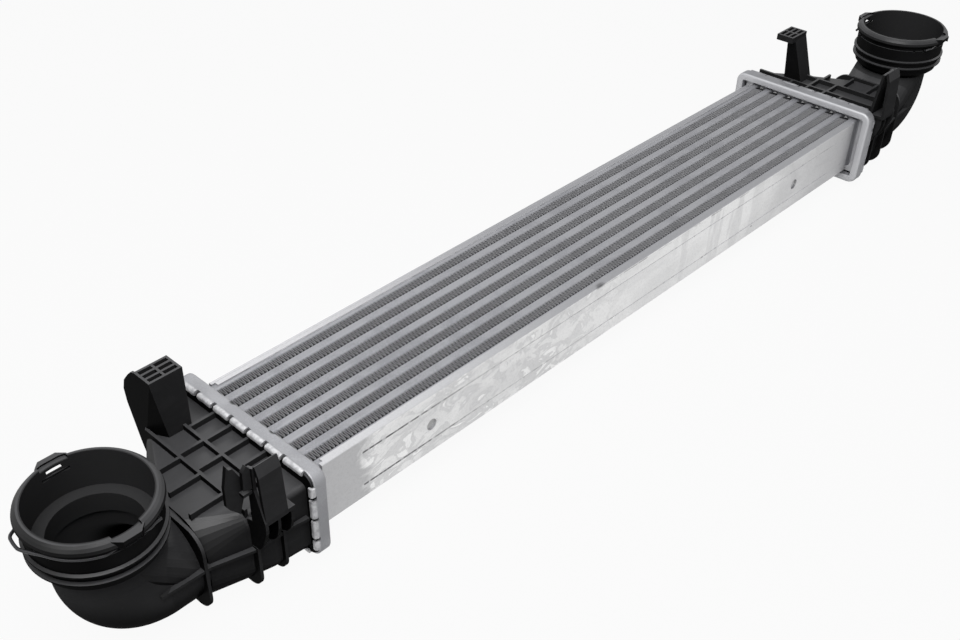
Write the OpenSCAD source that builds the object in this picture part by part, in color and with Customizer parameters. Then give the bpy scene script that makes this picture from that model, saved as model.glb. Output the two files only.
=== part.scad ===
// Air-to-air charge cooler of a car engine: a brazed aluminium core of flat tubes and
// corrugated fins between two crimped header plates, each closed by a moulded plastic
// end tank with a quick-release hose socket.
// X runs along the core, Y across its tubes with the hose sockets and latches towards -Y,
// and Z is up. Everything is laid out from the middle of the core, and the finished part
// is set down so that the middle of its underside box is the origin.

/* [Core] */
// Length of the core between the rims of the two header plates
core_l = 662; // [560:1:760]
// Depth of a flat tube, along Z
tube_w = 48; // [44:0.5:49]
// Thickness of a flat tube, along Y
tube_t = 7.6; // [6.4:0.1:8]
// Spacing of the tubes, centre to centre
tube_pitch = 15.1; // [14.6:0.05:15.4]
// Wall of a tube
tube_wall = 0.7; // [0.4:0.1:1]
// Corner radius of a tube's edge
tube_nose_r = 2.2; // [1.2:0.1:3]
// Length of one full wave of the cooling fins
fin_pitch = 6.6; // [6:0.1:12]
// Sheet thickness of the fins
fin_t = 0.35; // [0.2:0.05:0.6]
// Sheet thickness of the corrugated insert inside each tube
insert_t = 0.3; // [0.2:0.05:0.5]
// Length of one full wave of the insert
insert_pitch = 4.8; // [4:0.1:8]

/* [Side plates] */
// Sheet thickness of the side plates
plate_t = 1.6; // [1:0.1:2.5]
// Thickness of the flange that is folded over the outer tube
flange_t = 1; // [0.6:0.1:1.5]
// Width of that flange, across the tubes
flange_w = 6.2; // [4:0.1:8]
// Distance from the end of a side plate to the rim of the header plate
plate_inset = 8.6; // [4:0.1:14]
// Diameter of the two tooling holes in the side plate
plate_hole_d = 2.6; // [1.5:0.1:4]

/* [Header plates] */
// Sheet thickness of a header plate
pan_t = 1.6; // [1:0.1:2]
// How far the header plate stands out beyond the core's front and back
pan_side = 13; // [12:0.1:14]
// How far the header plate stands out above and below the core
pan_over = 10.75; // [10:0.05:12]
// Depth of the header plate along X, with its folded tabs
pan_d = 13; // [12:0.1:15]
// Outer corner radius of the header plate
pan_corner_r = 9; // [8:0.1:11]
// Radius of the rim's bend
rim_bend_r = 3.4; // [1.5:0.1:3.5]
// Width of the gutter rim, over both walls
rim_w = 7.2; // [7:0.1:8]
// Depth of the recess that the core stands in
recess_d = 6; // [4:0.1:7]
// Length of the fold of a crimp tab over the tank's foot
fold_w = 2.3; // [1.5:0.1:2.5]
// Spacing of the crimp tabs
tab_pitch = 17.7; // [17:0.1:18]
// Shift of the tabs along the header plate's long sides, towards +Y
tab_shift = 1; // [0:0.1:2.5]
// Width of the gap between two tabs
tab_gap = 2.4; // [1.5:0.1:4]
// How far the header plate's middle lies behind the core's middle
pan_dy = 1.75; // [0:0.05:2.5]
// How far the header plate's middle lies below the core's middle
pan_drop = 2.75; // [1:0.05:3.5]
// Thickness of the rubber seal in the gutter, pressed down
seal_h = 3; // [2:0.1:3.5]

/* [End tanks] */
// Wall of the plastic tanks
tank_wall = 2.4; // [2:0.1:3]
// Height of the deck above the core's middle
deck_z = 22.5; // [21:0.1:23.5]
// Height of the stiffening ribs on the deck
rib_h = 4.2; // [2:0.1:4.5]
// Reach of the hoops beyond the walls
hoop_h = 3.4; // [2:0.1:4]
// Thickness of the stiffening ribs
rib_t = 2.2; // [1.6:0.1:3]
// Length of a tank's box from the crimp to the pipe
box_l = 68; // [60:1:72]
// Outer radius of the air pipe
pipe_r = 32.2; // [32:0.1:33]
// Inner radius of the air pipe
pipe_bore_r = 28.7; // [27:0.1:29]
// Radius of the elbow along the pipe's middle
bend_r = 27; // [26:0.5:32]
// Depth of the pipe's middle below the core's middle
pipe_drop = 11.2; // [9:0.1:12]
// Offset of the pipe's middle from the socket's axis, towards +Y
pipe_shift = 1.3; // [0:0.1:2]
// How far the elbow's upright leg stands in from the socket's axis, along X
elbow_inset = 1.3; // [0:0.1:2]
// Length of a tank from the header plate's tabs to the socket's axis, along X
tank_l = 118.2; // [112:0.1:136]
// Offset of the left socket from the core's middle, towards -Y
socket_left_y = 21.3; // [19:0.1:27]
// Offset of the right socket from the core's middle, towards -Y
socket_right_y = 24.8; // [19:0.1:27]

/* [Hose sockets] */
// Height of the socket's mouth above the core's middle
mouth_z = 69.2; // [66:0.1:76]
// Bore radius of the socket
socket_r = 36.7; // [36:0.1:38]
// Depth of the socket
socket_d = 27; // [22:0.1:28]
// Outer radius of the socket's band
band_r = 40.3; // [39.8:0.1:41]
// Outer radius of the rounded lip
lip_r = 42.3; // [42:0.1:43.5]
// Height of the socket's outside, from its mouth down to the elbow
neck_h = 41.7; // [38:0.1:46]
// Wire radius of the spring clip
wire_r = 0.9; // [0.6:0.05:1.1]
// Half the distance between the two straight legs of the clip
clip_leg = 37.4; // [37.3:0.05:38]

/* [Brackets] */
// Height of the mounting posts and latches above the core's middle
post_z = 70.5; // [60:0.5:80]
// Length of a post's head along X
post_l = 25; // [20:0.5:28]
// Width of a post's head along Y
post_w = 17; // [14:0.5:20]
// Wall and rib thickness of a post's head
post_wall = 1.8; // [1.2:0.1:2.5]
// Depth of the cells in the left post's head
cell_d = 14; // [5:0.5:20]
// Reach of the left post's web behind its head
web_reach = 18.5; // [8:0.5:20]
// Thickness of the overhanging head of the right post
head_t = 5.6; // [4:0.1:8]
// How far a latch stands out in front of its tank's front wall
latch_reach = 14; // [9:0.5:15]
// Width of the latch's tongue
tongue_w = 16.5; // [12:0.5:18]
// Thickness of the tongue and its ribs
tongue_t = 2.2; // [1.6:0.1:3]

/* [Hidden] */

tube_count = 8;
fin_count = tube_count - 1;
fine = 64;
coarse = 32;
overrun = 0.5;
slip = 0.3;
braze_gap = 0.05;

// Core
core_w = fin_count * tube_pitch + tube_t + 2 * plate_t;
fin_gap = tube_pitch - tube_t;
rim_x = core_l / 2;
floor_x = rim_x + recess_d;
tube_end_x = floor_x + pan_t + slip;
fin_end_x = rim_x + recess_d / 6;
fin_w = tube_w - 2 * fin_t;
insert_l = 2 * tube_end_x - tube_w / 4;

// Header plates
pan_w = core_w + 2 * pan_side;
pan_h = tube_w + 2 * flange_t + 2 * pan_over;
tab_end_x = rim_x + pan_d;
fold_x = tab_end_x - pan_t;
recess_w = pan_w - 2 * rim_w;
recess_h = pan_h - 2 * rim_w;
recess_r = pan_corner_r - rim_w + 2 * pan_t;

// Tank foot, which stands on the seal and lies under the tabs
foot_x = rim_x + pan_t + seal_h;
foot_edge = pan_t + slip;
step_x = floor_x + pan_t + 2 * slip;
foot_inset = rim_w - pan_t - slip;

// Tank box: its extent at the foot, and its sections as shares of that extent
wall_x = tab_end_x - pan_t;
socket_x = wall_x + tank_l;
box_front = pan_w / 2 - pan_dy - foot_edge - fold_w - slip - hoop_h * 0.8;
box_back = pan_w / 2 + pan_dy - foot_edge - fold_w - slip;
box_low = pan_h / 2 + pan_drop - foot_edge - fold_w + slip;
box_share = [0, 0.38, 0.62, 1];
front_share = [1, 0.98, 0.95, 0.84];
back_share = [1, 0.962, 0.68, 0.17];
low_share = [0.97, 0.99, 1.03, 1.2];
top_corner_share = [0.1, 0.16, 0.3, 0.7];
low_corner_share = [0.16, 0.26, 0.42, 0.7];

// Ribs: places of the two hoops and the collar as shares of the box's length, and the
// deck ribs as a place across in tab spacings with a start and an end along the box
hoop_share = [0.306, 0.6];
collar_share = 1.06;
deck_rib_shares = [[1.5, 0, 0.306], [0.5, 0, 0.306], [-0.5, 0, 0.306], [-1.5, 0, 0.306],
    [0.55, 0.306, 0.6], [-0.55, 0.306, 0.6], [0.4, 0.6, 0.84], [-0.8, 0.6, 0.95],
    [-2.15, 0.6, 0.98]];
seam_z = -pan_drop - rib_t / 2;

// Outside of the hose socket: shares of its height down from the mouth and of the band's radius
neck_shares = [[0, 0.965], [0.03, 1], [0.07, 1.035], [0.115, 0], [0.15, 1.04], [0.175, 1.005],
    [0.178, 0.975], [0.242, 0.975], [0.25, 0.99], [0.5, 0.985], [0.52, 1.03], [0.55, 1.03],
    [0.57, 0.975], [0.66, 0.97], [0.68, 1.025], [0.71, 1.025], [0.74, 0.965], [0.86, 0.935]];
neck_end_z = mouth_z - neck_h;
step_z = mouth_z - socket_d;
elbow_z = bend_r - pipe_drop;
clip_z = mouth_z - neck_h * 0.21;
groove_r = band_r * 0.975;
clip_r = groove_r + wire_r + slip;
clip_bow = 5.5 * wire_r;
clip_turn = 6;
slot_w = 32 * wire_r;
slot_h = neck_h * 0.058;
boss_w = slot_w * 0.4;
boss_r = lip_r + 1.8 * wire_r;
wire_sides = 8;

// Brackets: outlines in shares of their reach and height
post_x = wall_x + tank_l * 0.34;
post_y = 33.5;
latch_x = wall_x + box_l * hoop_share[1];
latch_front = box_front + latch_reach;
latch_plate_shares = [[0.52, 0.98], [0.47, 0.73], [0.58, 0.66], [0.76, 0.55], [0.98, 0.41], [1, 0.34],
    [0.97, 0.28], [0.67, 0.12], [0.36, 0.02], [-0.32, 0], [-0.32, 0.3], [0.06, 0.33], [0.06, 0.94]];
latch_tongue_shares = [[0.6, 1], [0.8, 0.89], [0.97, 0.42], [0.97, 0.37], [-0.1, 0.37], [-0.1, 0.4],
    [0.8, 0.41], [0.64, 0.88], [0.46, 0.98]];
latch_loop_shares = [[0.8, 0.38], [0.83, 0.3], [0.8, 0.22], [0.68, 0.13], [0.36, 0.03], [-0.32, 0],
    [-0.32, 0.28], [0.2, 0.38]];
latch_back_shares = [[0.4, 0.96], [0.02, 0.22], [-0.32, 0.16], [-0.32, 0.24], [-0.14, 0.3], [0.24, 0.96]];
wide_prong_shares = [[0.29, 0.62], [0.49, 0.48], [0.9, 0.59], [1.02, 0.64], [1.01, 0.84], [0.82, 1.05],
    [0.74, 1.01], [0.59, 1], [0.32, 0.87]];
thin_prong_shares = [[0.04, 0.74], [0.43, 0.77], [0.39, 0.96], [0.2, 1.01], [0.04, 0.96]];
web_shares = [[0, 1], [0.27, 0.98], [0.52, 0.915], [0.85, 0.81], [1, 0.69], [0.94, 0.54],
    [0.7, 0.34], [0.47, 0.14], [0.3, 0.03]];

// Place of the finished part's origin in the core's own frame
part_front = latch_front;
part_back = pan_w / 2 + pan_dy;
part_low = pipe_drop + pipe_r;
part_origin = [0, (part_back - part_front) / 2, -part_low];

alu = "#c4c6c9";
alu_dark = "#9b9da1";
plastic = "#2b2b2d";
rubber = "#151515";
wire = "#1f1f21";

// Rectangle with true arcs at its corners, centred
module round_rect(w, h, r) {
    square([w - 2 * r, h], center = true);
    square([w, h - 2 * r], center = true);
    for (sx = [-1, 1], sy = [-1, 1])
        translate([sx * (w / 2 - r), sy * (h / 2 - r)]) circle(r, $fn = fine);
}

// Extrudes an outline drawn in Y and Z along X, from x0 to x1
module along_x(x0, x1) {
    translate([x0, 0, 0]) rotate([90, 0, 90]) linear_extrude(x1 - x0) children();
}

// Places what belongs to a header plate's middle
module at_pan() {
    translate([0, pan_dy, -pan_drop]) children();
}

// Closed strip of sheet folded to a wave of the given span, drawn around the X axis
module wave_strip(l, pitch, span, t) {
    legs = floor(2 * l / pitch);
    lean = t * sqrt(1 + pow(2 * span / pitch, 2));
    half = (span - lean) / 2;
    top = [for (i = [0 : legs]) [(i - legs / 2) * pitch / 2, (i % 2 == 0 ? -half : half) + lean / 2]];
    low = [for (i = [legs : -1 : 0]) [(i - legs / 2) * pitch / 2, (i % 2 == 0 ? -half : half) - lean / 2]];
    polygon(concat(top, low));
}

// Flat oval tube with open ends
module tube(k) {
    color(alu) translate([0, (k - (tube_count + 1) / 2) * tube_pitch, 0])
        along_x(-tube_end_x, tube_end_x) difference() {
            round_rect(tube_t, tube_w, tube_nose_r);
            round_rect(tube_t - 2 * tube_wall, tube_w - 2 * tube_wall, tube_nose_r - tube_wall);
        }
}

// Corrugated sheet brazed inside a tube, its waves across the air's way
module tube_insert(k) {
    span = tube_t - 2 * tube_wall;
    room = tube_w - 2 * tube_nose_r;
    color(alu_dark) translate([0, (k - (tube_count + 1) / 2) * tube_pitch, 0])
        along_x(-insert_l / 2, insert_l / 2) rotate(90) wave_strip(room, insert_pitch, span, insert_t);
}

// Cooling fins between two tubes
module fin_row(k) {
    color(alu_dark) translate([0, (k - (fin_count + 1) / 2) * tube_pitch, -fin_w / 2])
        linear_extrude(fin_w) wave_strip(2 * fin_end_x, fin_pitch, fin_gap, fin_t);
}

// Section of a side plate, lying against the outer tube with its flanges over it
module channel() {
    h = tube_w + 2 * flange_t;
    difference() {
        translate([-flange_w / 2, 0]) round_rect(flange_w, h, flange_t);
        translate([-flange_w - overrun, -tube_w / 2])
            square([flange_w + overrun - plate_t, tube_w]);
    }
}

// Side plate of the core; side is -1 at the front and 1 at the back
module side_plate(side) {
    l = rim_x - plate_inset;
    hole_x = l * 0.68;
    bead_z = tube_w * 0.3;
    bead_w = plate_t / 2;
    color(alu) difference() {
        scale([1, side, 1]) difference() {
            translate([0, core_w / 2, 0]) along_x(-l, l) channel();
            for (sx = [-1, 1], sz = [-1, 1])
                translate([sx * l, core_w / 2 - flange_w, sz * (tube_w + flange_t) / 2])
                    cube([flange_w, flange_w, 2 * flange_t], center = true);
        }
        for (sx = [-1, 1])
            translate([sx * hole_x, side * core_w / 2, tube_w * 0.12])
                rotate([90, 0, 0]) cylinder(d = plate_hole_d, h = 2 * plate_t, center = true, $fn = coarse);
        for (sz = [-1, 1])
            translate([0, side * core_w / 2, sz * bead_z])
                cube([2 * l * 0.94, bead_w, bead_w], center = true);
    }
}

// Block of a header plate before it is hollowed, with the rim's bend rounded
module pan_block() {
    hull() at_pan() for (sy = [-1, 1], sz = [-1, 1])
        translate([rim_x, sy * (pan_w / 2 - pan_corner_r), sz * (pan_h / 2 - pan_corner_r)])
            rotate([0, 90, 0]) {
                translate([0, 0, rim_bend_r]) cylinder(r = pan_corner_r, h = pan_d - rim_bend_r, $fn = coarse);
                translate([0, 0, rim_bend_r]) rotate_extrude($fn = coarse)
                    translate([pan_corner_r - rim_bend_r, 0]) circle(rim_bend_r, $fn = coarse / 2);
            }
}

// Outline of the pan, drawn in from its edge by d
module pan_outline(d) {
    round_rect(pan_w - 2 * d, pan_h - 2 * d, max(pan_corner_r - d, pan_t));
}

// Gaps between the crimp tabs, and the open corners
module tab_gaps() {
    reach = 2 * (fold_w + pan_t);
    for (k = [0 : 5])
        translate([tab_end_x, (k - 2.5) * tab_pitch + tab_shift, 0])
            cube([8 * pan_t, tab_gap, pan_h + reach], center = true);
    for (k = [-1 : 1])
        translate([tab_end_x, 0, k * tab_pitch])
            cube([8 * pan_t, pan_w + reach, tab_gap], center = true);
    for (sy = [-1, 1], sz = [-1, 1])
        translate([tab_end_x, sy * pan_w / 2, sz * pan_h / 2])
            cube([2 * pan_t, 2 * pan_corner_r, 2 * pan_corner_r], center = true);
}

// Header plate: a gutter for the tank's foot around a floor that the tubes pass through
module header_plate_right() {
    color(alu) difference() {
        pan_block();
        at_pan() {
            along_x(rim_x + pan_t, fold_x) difference() {
                pan_outline(pan_t);
                pan_outline(rim_w - pan_t);
            }
            along_x(floor_x + pan_t, fold_x) pan_outline(pan_t);
            along_x(fold_x - overrun, tab_end_x + overrun) pan_outline(pan_t + fold_w);
            along_x(rim_x - overrun, floor_x) pan_outline(rim_w);
            tab_gaps();
        }
        for (k = [1 : tube_count])
            translate([0, (k - (tube_count + 1) / 2) * tube_pitch, 0])
                along_x(floor_x - overrun, floor_x + 2 * pan_t)
                    round_rect(tube_t + 2 * braze_gap, tube_w + 2 * braze_gap, tube_nose_r + braze_gap);
    }
}

// Rubber seal in the gutter, under the tank's foot
module tank_seal_right() {
    color(rubber) at_pan() along_x(rim_x + pan_t, foot_x) difference() {
        pan_outline(pan_t + slip);
        pan_outline(rim_w - pan_t - slip);
    }
}

// Circle at a corner of a section, inside the corner point
module corner(y, z, r, sy, sz) {
    translate([y - sy * r, z - sz * r]) circle(r, $fn = coarse);
}

// One section of the tank's box, grown by d on every side
module box_section(i, d) {
    front = -box_front * front_share[i] - d;
    back = box_back * back_share[i] + d;
    low = -box_low * low_share[i] - d;
    top = deck_z + d;
    top_r = box_low * top_corner_share[i] + d;
    low_r = box_low * low_corner_share[i] + d;
    corner(front, top, top_r, -1, 1);
    corner(back, top, top_r, 1, 1);
    corner(front, low, low_r, -1, -1);
    corner(back, low, low_r, 1, -1);
}

// Tank box from the plane x0 to the pipe, grown by d
module box_form(d, x0) {
    hull() for (i = [0 : 3])
        translate([i == 0 ? x0 : wall_x + box_l * box_share[i], 0, 0]) rotate([90, 0, 90])
            linear_extrude(tank_wall / 2) box_section(i, d);
}

// Pipe and elbow of radius r, from the box up into the socket, around the pipe's own middle
module pipe_form(r) {
    x0 = wall_x + box_l * box_share[2];
    x1 = socket_x - elbow_inset - bend_r;
    translate([x0, 0, 0]) rotate([0, 90, 0]) cylinder(r = r - braze_gap, h = x1 - x0 + overrun, $fn = fine);
    translate([x1, 0, bend_r]) rotate([90, 0, 0]) rotate(-90) rotate_extrude(angle = 90, $fn = fine)
        intersection() {
            translate([bend_r, 0]) circle(r, $fn = fine);
            translate([0, -2 * r]) square(4 * r);
        }
    translate([x1 + bend_r, 0, bend_r - overrun])
        cylinder(r = r - braze_gap, h = neck_end_z - elbow_z + 2 * overrun, $fn = fine);
}

// Saddle that fills the inner side of the elbow, around the pipe's own middle
module saddle() {
    hull() {
        translate([wall_x + box_l * collar_share, 0, 0]) rotate([0, 90, 0])
            cylinder(r = pipe_r - slip, h = rib_t, $fn = coarse);
        translate([socket_x - elbow_inset, 0, neck_end_z + pipe_drop]) cylinder(r = pipe_r - slip, h = rib_t, $fn = coarse);
    }
}

// Outside of the socket, from the elbow to the rounded lip
module socket_form() {
    rotate_extrude($fn = fine) polygon(concat(
        [[0, mouth_z]],
        [for (p = neck_shares) [p[1] == 0 ? lip_r : band_r * p[1], mouth_z - neck_h * p[0]]],
        [[pipe_r - wire_r, neck_end_z], [0, neck_end_z]]));
}

// Plan of the lip's bulges over the clip's legs: w wide on the lip and boss_w wide at the reach r
module boss_plan(w, r) {
    polygon([[-w / 2, -groove_r], [-w / 2, groove_r], [-boss_w / 2, r], [boss_w / 2, r],
        [w / 2, groove_r], [w / 2, -groove_r], [boss_w / 2, -r], [-boss_w / 2, -r]]);
}

// Bulges on the lip, one over each leg of the clip
module lip_bosses() {
    translate([0, 0, mouth_z - neck_h * 0.14]) linear_extrude(neck_h * 0.12) boss_plan(1.8 * boss_w, boss_r);
}

// Slots that let the clip's legs through, a slit above each and the notches at the clip's ends
module clip_slots() {
    depth = boss_r - clip_leg + 3 * wire_r;
    slit_h = neck_h * 0.065;
    slit_z = clip_z + neck_h * 0.082;
    pocket_y = socket_r + wire_r;
    for (side = [-1, 1]) {
        translate([0, side * (clip_leg - 2 * wire_r + depth / 2), clip_z])
            cube([slot_w, depth, slot_h], center = true);
        translate([0, side * (clip_leg - 2 * wire_r + depth / 2), slit_z])
            cube([0.94 * boss_w, depth, slit_h], center = true);
        translate([0, side * (pocket_y + depth / 2), (clip_z + slit_z) / 2])
            cube([0.94 * boss_w, depth, slit_z + slit_h - clip_z], center = true);
        for (a = [121, 135])
            rotate(side * a) translate([band_r, 0, clip_z])
                cube([3 * wire_r, 2.8 * wire_r, 2.4 * slot_h], center = true);
    }
    translate([0, 0, mouth_z - neck_h * 0.05]) linear_extrude(neck_h)
        boss_plan(1.6 * boss_w, boss_r - 4 * wire_r);
}

// Plan of the tank's box
module box_plan() {
    polygon(concat(
        [for (i = [0 : 3]) [wall_x + box_l * box_share[i], -box_front * front_share[i]]],
        [for (i = [3 : -1 : 0]) [wall_x + box_l * box_share[i], box_back * back_share[i]]]));
}

// Grid of ribs on the deck, cut to the box's plan
module deck_ribs() {
    intersection() {
        translate([0, 0, deck_z - rib_h]) linear_extrude(2 * rib_h) box_plan();
        union() {
            for (q = deck_rib_shares)
                translate([wall_x + box_l * q[1], pan_dy + tab_shift + q[0] * tab_pitch - rib_t / 2, 0])
                    cube([box_l * (q[2] - q[1]), rib_t, deck_z + rib_h]);
            for (q = hoop_share)
                translate([wall_x + box_l * q - rib_t / 2, -box_front * 0.9, 0])
                    cube([rib_t, 2 * box_back, deck_z + rib_h]);
        }
    }
}

// Hoop around the front and underside of the box at the share q of its length
module hoop(q) {
    i = q < box_share[2] ? 1 : 2;
    front = box_front * front_share[i] + hoop_h;
    low = box_low * low_share[i] + hoop_h;
    r = low * 0.32;
    translate([wall_x + box_l * q - rib_t / 2, 0, 0]) along_x(0, rib_t) {
        translate([-front, -low + r]) square([front, low - r]);
        translate([-front + r, -low]) square([front + box_back * back_share[2] / 2 - r, low]);
        translate([-front + r, -low + r]) circle(r, $fn = fine);
    }
}

// Square-shouldered collar where the pipe leaves the box, around the pipe's own middle
module collar() {
    w = 2 * (pipe_r + hoop_h);
    h = 2 * pipe_r;
    translate([0, 0, hoop_h]) along_x(wall_x + box_l * collar_share, wall_x + box_l * collar_share + rib_t)
        round_rect(w, h, h * 0.22);
}

// Rib along the seam on the front wall, out on to the elbow; y is the pipe's offset
module seam_rib(y) {
    x0 = tab_end_x + slip;
    x1 = socket_x - bend_r + pipe_r * 0.4;
    translate([0, 0, seam_z]) linear_extrude(rib_t) polygon([
        [x0, -box_front - hoop_h], [x0 + box_l * 0.2, -box_front - hoop_h / 2],
        [x0 + box_l * 0.6, -box_front - hoop_h / 4], [x0 + box_l, -y - pipe_r - 0.9 * hoop_h],
        [x1, -y - pipe_r - hoop_h / 2], [x1, -y], [x0, -y]]);
}

// Body of a tank with its foot, box, elbow and socket; y is the socket's offset
module tank_shell(y) {
    pipe_y = y - pipe_shift;
    difference() {
        union() {
            at_pan() along_x(foot_x, fold_x - braze_gap) pan_outline(foot_edge);
            box_form(0, step_x);
            deck_ribs();
            hoop(hoop_share[0]);
            hoop(hoop_share[1]);
            seam_rib(pipe_y);
            translate([0, -pipe_y, -pipe_drop]) {
                pipe_form(pipe_r);
                saddle();
                collar();
            }
            translate([socket_x, -y, 0]) {
                socket_form();
                lip_bosses();
            }
        }
        at_pan() along_x(foot_x - overrun, step_x) pan_outline(foot_inset);
        box_form(-tank_wall, step_x - overrun);
        translate([0, -pipe_y, -pipe_drop]) pipe_form(pipe_bore_r);
        translate([socket_x, -y, neck_end_z - overrun]) cylinder(r = pipe_bore_r, h = neck_h, $fn = fine);
        translate([socket_x, -y, step_z]) cylinder(r = socket_r, h = socket_d + overrun, $fn = fine);
        translate([socket_x, -y, 0]) clip_slots();
    }
}

// Two by three cells in the head of a post, d deep
module post_cells(d) {
    cell_l = (post_l - 3 * post_wall) / 2;
    cell_w = (post_w - 4 * post_wall) / 3;
    for (i = [0, 1], j = [0 : 2])
        translate([post_wall + i * (cell_l + post_wall), post_wall + j * (cell_w + post_wall), -d])
            cube([cell_l, cell_w, d + overrun]);
}

// Left post: a head on a tapering box, with a web on its outer side that runs down the back
module post_left() {
    foot_z = deck_z - tank_wall / 2;
    lean = post_l * 0.3;
    difference() {
        union() {
            hull() {
                translate([post_x - post_l, post_y, post_z - post_wall]) cube([post_l, post_w, post_wall]);
                translate([post_x - post_l, post_y, foot_z]) cube([post_l - lean, post_w, post_wall]);
            }
            hull() {
                translate([post_x - post_wall, post_y, 0]) rotate([90, 0, 90]) linear_extrude(post_wall)
                    polygon([for (p = web_shares) [post_w * 0.9 + web_reach * p[0], post_z * p[1]]]);
                translate([post_x - lean - post_wall, post_y, foot_z]) cube([post_wall, post_wall, post_wall]);
                translate([post_x - post_wall, post_y, post_z - post_wall]) cube([post_wall, post_wall, post_wall]);
            }
        }
        translate([post_x - post_l, post_y, post_z]) post_cells(cell_d);
        box_form(-tank_wall, step_x - overrun);
    }
}

// Right post: a tapering column under a head that overhangs to the back
module post_right() {
    foot_z = deck_z - tank_wall / 2;
    neck_z = post_z - head_t;
    difference() {
        union() {
            translate([post_x - 1.12 * post_l, post_y, neck_z]) cube([post_l, post_w, head_t]);
            hull() {
                translate([post_x - post_l * 0.86, post_y, neck_z])
                    cube([post_l * 0.74, post_w / 2, post_wall]);
                translate([post_x - post_l * 0.45, post_y - post_w * 0.5, foot_z])
                    cube([post_l * 0.7, post_w * 1.1, post_wall]);
            }
        }
        translate([post_x - 1.12 * post_l, post_y, post_z]) post_cells(head_t - post_wall);
    }
}

// Plate of thickness t in a plane across X, from an outline in shares of the latch's reach and height
module latch_plate(shares, x, t) {
    along_x(x, x + t) polygon([for (p = shares) [-box_front - latch_reach * p[0], post_z * p[1]]]);
}

// Latch on the front wall at x: a side plate, and a tongue of width w on curved ribs at shares of it
module latch(x, w, rib_shares) {
    latch_plate(latch_plate_shares, x - rib_t / 2, rib_t);
    latch_plate(latch_tongue_shares, x - w, w);
    for (k = rib_shares)
        latch_plate(latch_loop_shares, x - w * k, tongue_t);
}

// Latch of the left tank, with a strip behind the outer rib and two prongs beside the tongue
module latch_left() {
    x = latch_x;
    latch(x, tongue_w, [0.72, 1.33]);
    latch_plate([[0.95, 0.37], [0.95, 0.41], [-0.1, 0.41], [-0.1, 0.37]], x - tongue_w * 1.33, tongue_w / 2);
    translate([x, -box_front - latch_reach * 0.36, post_z * 0.69])
        cube([tongue_w * 0.45, latch_reach * 0.45, tongue_t]);
    prong(wide_prong_shares, x, -0.13);
    prong(thin_prong_shares, x, 0.19);
}

// Latch of the right tank, nearer the core, with a wider tongue and a plate that leans towards it
module latch_right() {
    x = wall_x + box_l * hoop_share[0];
    w = tongue_w * 1.17;
    latch(x, w, [0.5, 0.93]);
    latch_plate(latch_back_shares, x - w, w);
}

// Upright prong beside the tongue: its outline from x on, in shares of the tongue's width and the
// latch's height, and its place in front of the wall as a share of the latch's reach
module prong(shares, x, place) {
    translate([0, -box_front - latch_reach * place, 0]) rotate([90, 0, 0]) linear_extrude(1.2 * tongue_t)
        polygon([for (p = shares) [x + tongue_w * p[0], post_z * p[1]]]);
}

// Ring points of a planar wire path
function turn(a, b) = let (d = b - a) d / norm(d);
function ring(p, dir, r) = [for (s = [0 : wire_sides - 1])
    let (a = 360 * s / wire_sides)
    [p[0] + r * cos(a) * dir[1], p[1] - r * cos(a) * dir[0], r * sin(a)]];

// Wire of radius r along an open path in X and Y
module swept_wire(path, r) {
    n = len(path);
    dirs = [for (i = [0 : n - 1])
        turn(path[max(i - 1, 0)], path[min(i + 1, n - 1)])];
    points = [for (i = [0 : n - 1]) each ring(path[i], dirs[i], r)];
    sides = [for (i = [0 : n - 2], s = [0 : wire_sides - 1])
        let (a = i * wire_sides + s, b = i * wire_sides + (s + 1) % wire_sides)
        [a, b, b + wire_sides, a + wire_sides]];
    caps = [[for (s = [wire_sides - 1 : -1 : 0]) s],
        [for (s = [0 : wire_sides - 1]) (n - 1) * wire_sides + s]];
    polyhedron(points, concat(sides, caps));
}

// Half of the clip on the side given by sign s, from the middle of its bow to its end
function clip_half(s) = let (leg_x = slot_w * 0.32, bow = clip_r + clip_bow, mid = clip_turn) concat(
    [bow * [cos(mid + s * 8), sin(mid + s * 8)]],
    [for (t = [0 : 7]) let (a = mid * (1 - t / 7) + s * (21 + 7 * t)) clip_r * [cos(a), sin(a)]],
    [[leg_x, s * clip_leg], [-leg_x, s * clip_leg]],
    [for (a = [110, 116]) clip_r * [cos(a), s * sin(a)]],
    [(clip_r + 2 * wire_r) * [cos(122), s * sin(122)]]);

// Spring clip: a bowed arc, two straight legs across the bore and two ends in the groove
module spring_clip() {
    far = clip_half(1);
    near = clip_half(-1);
    color(wire) swept_wire(concat([for (i = [len(far) - 1 : -1 : 0]) far[i]], near), wire_r);
}

// Mirrors a right-hand piece to the left end
module to_left() {
    mirror([1, 0, 0]) children();
}

// Sets a piece down in the part's own frame
module placed() {
    translate(-part_origin) children();
}

module header_plate_left() { to_left() header_plate_right(); }
module side_plate_front() { side_plate(-1); }
module side_plate_back() { side_plate(1); }
module tank_seal_left() { to_left() tank_seal_right(); }

// Left tank with the hollow post
module tank_left() {
    color(plastic) to_left() union() {
        tank_shell(socket_left_y);
        post_left();
        latch_left();
    }
}

// Right tank with the overhanging post
module tank_right() {
    color(plastic) union() {
        tank_shell(socket_right_y);
        post_right();
        latch_right();
    }
}

module spring_clip_left() {
    translate([-socket_x, -socket_left_y, clip_z]) mirror([1, 0, 0]) spring_clip();
}

module spring_clip_right() {
    translate([socket_x, -socket_right_y, clip_z]) spring_clip();
}

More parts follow.
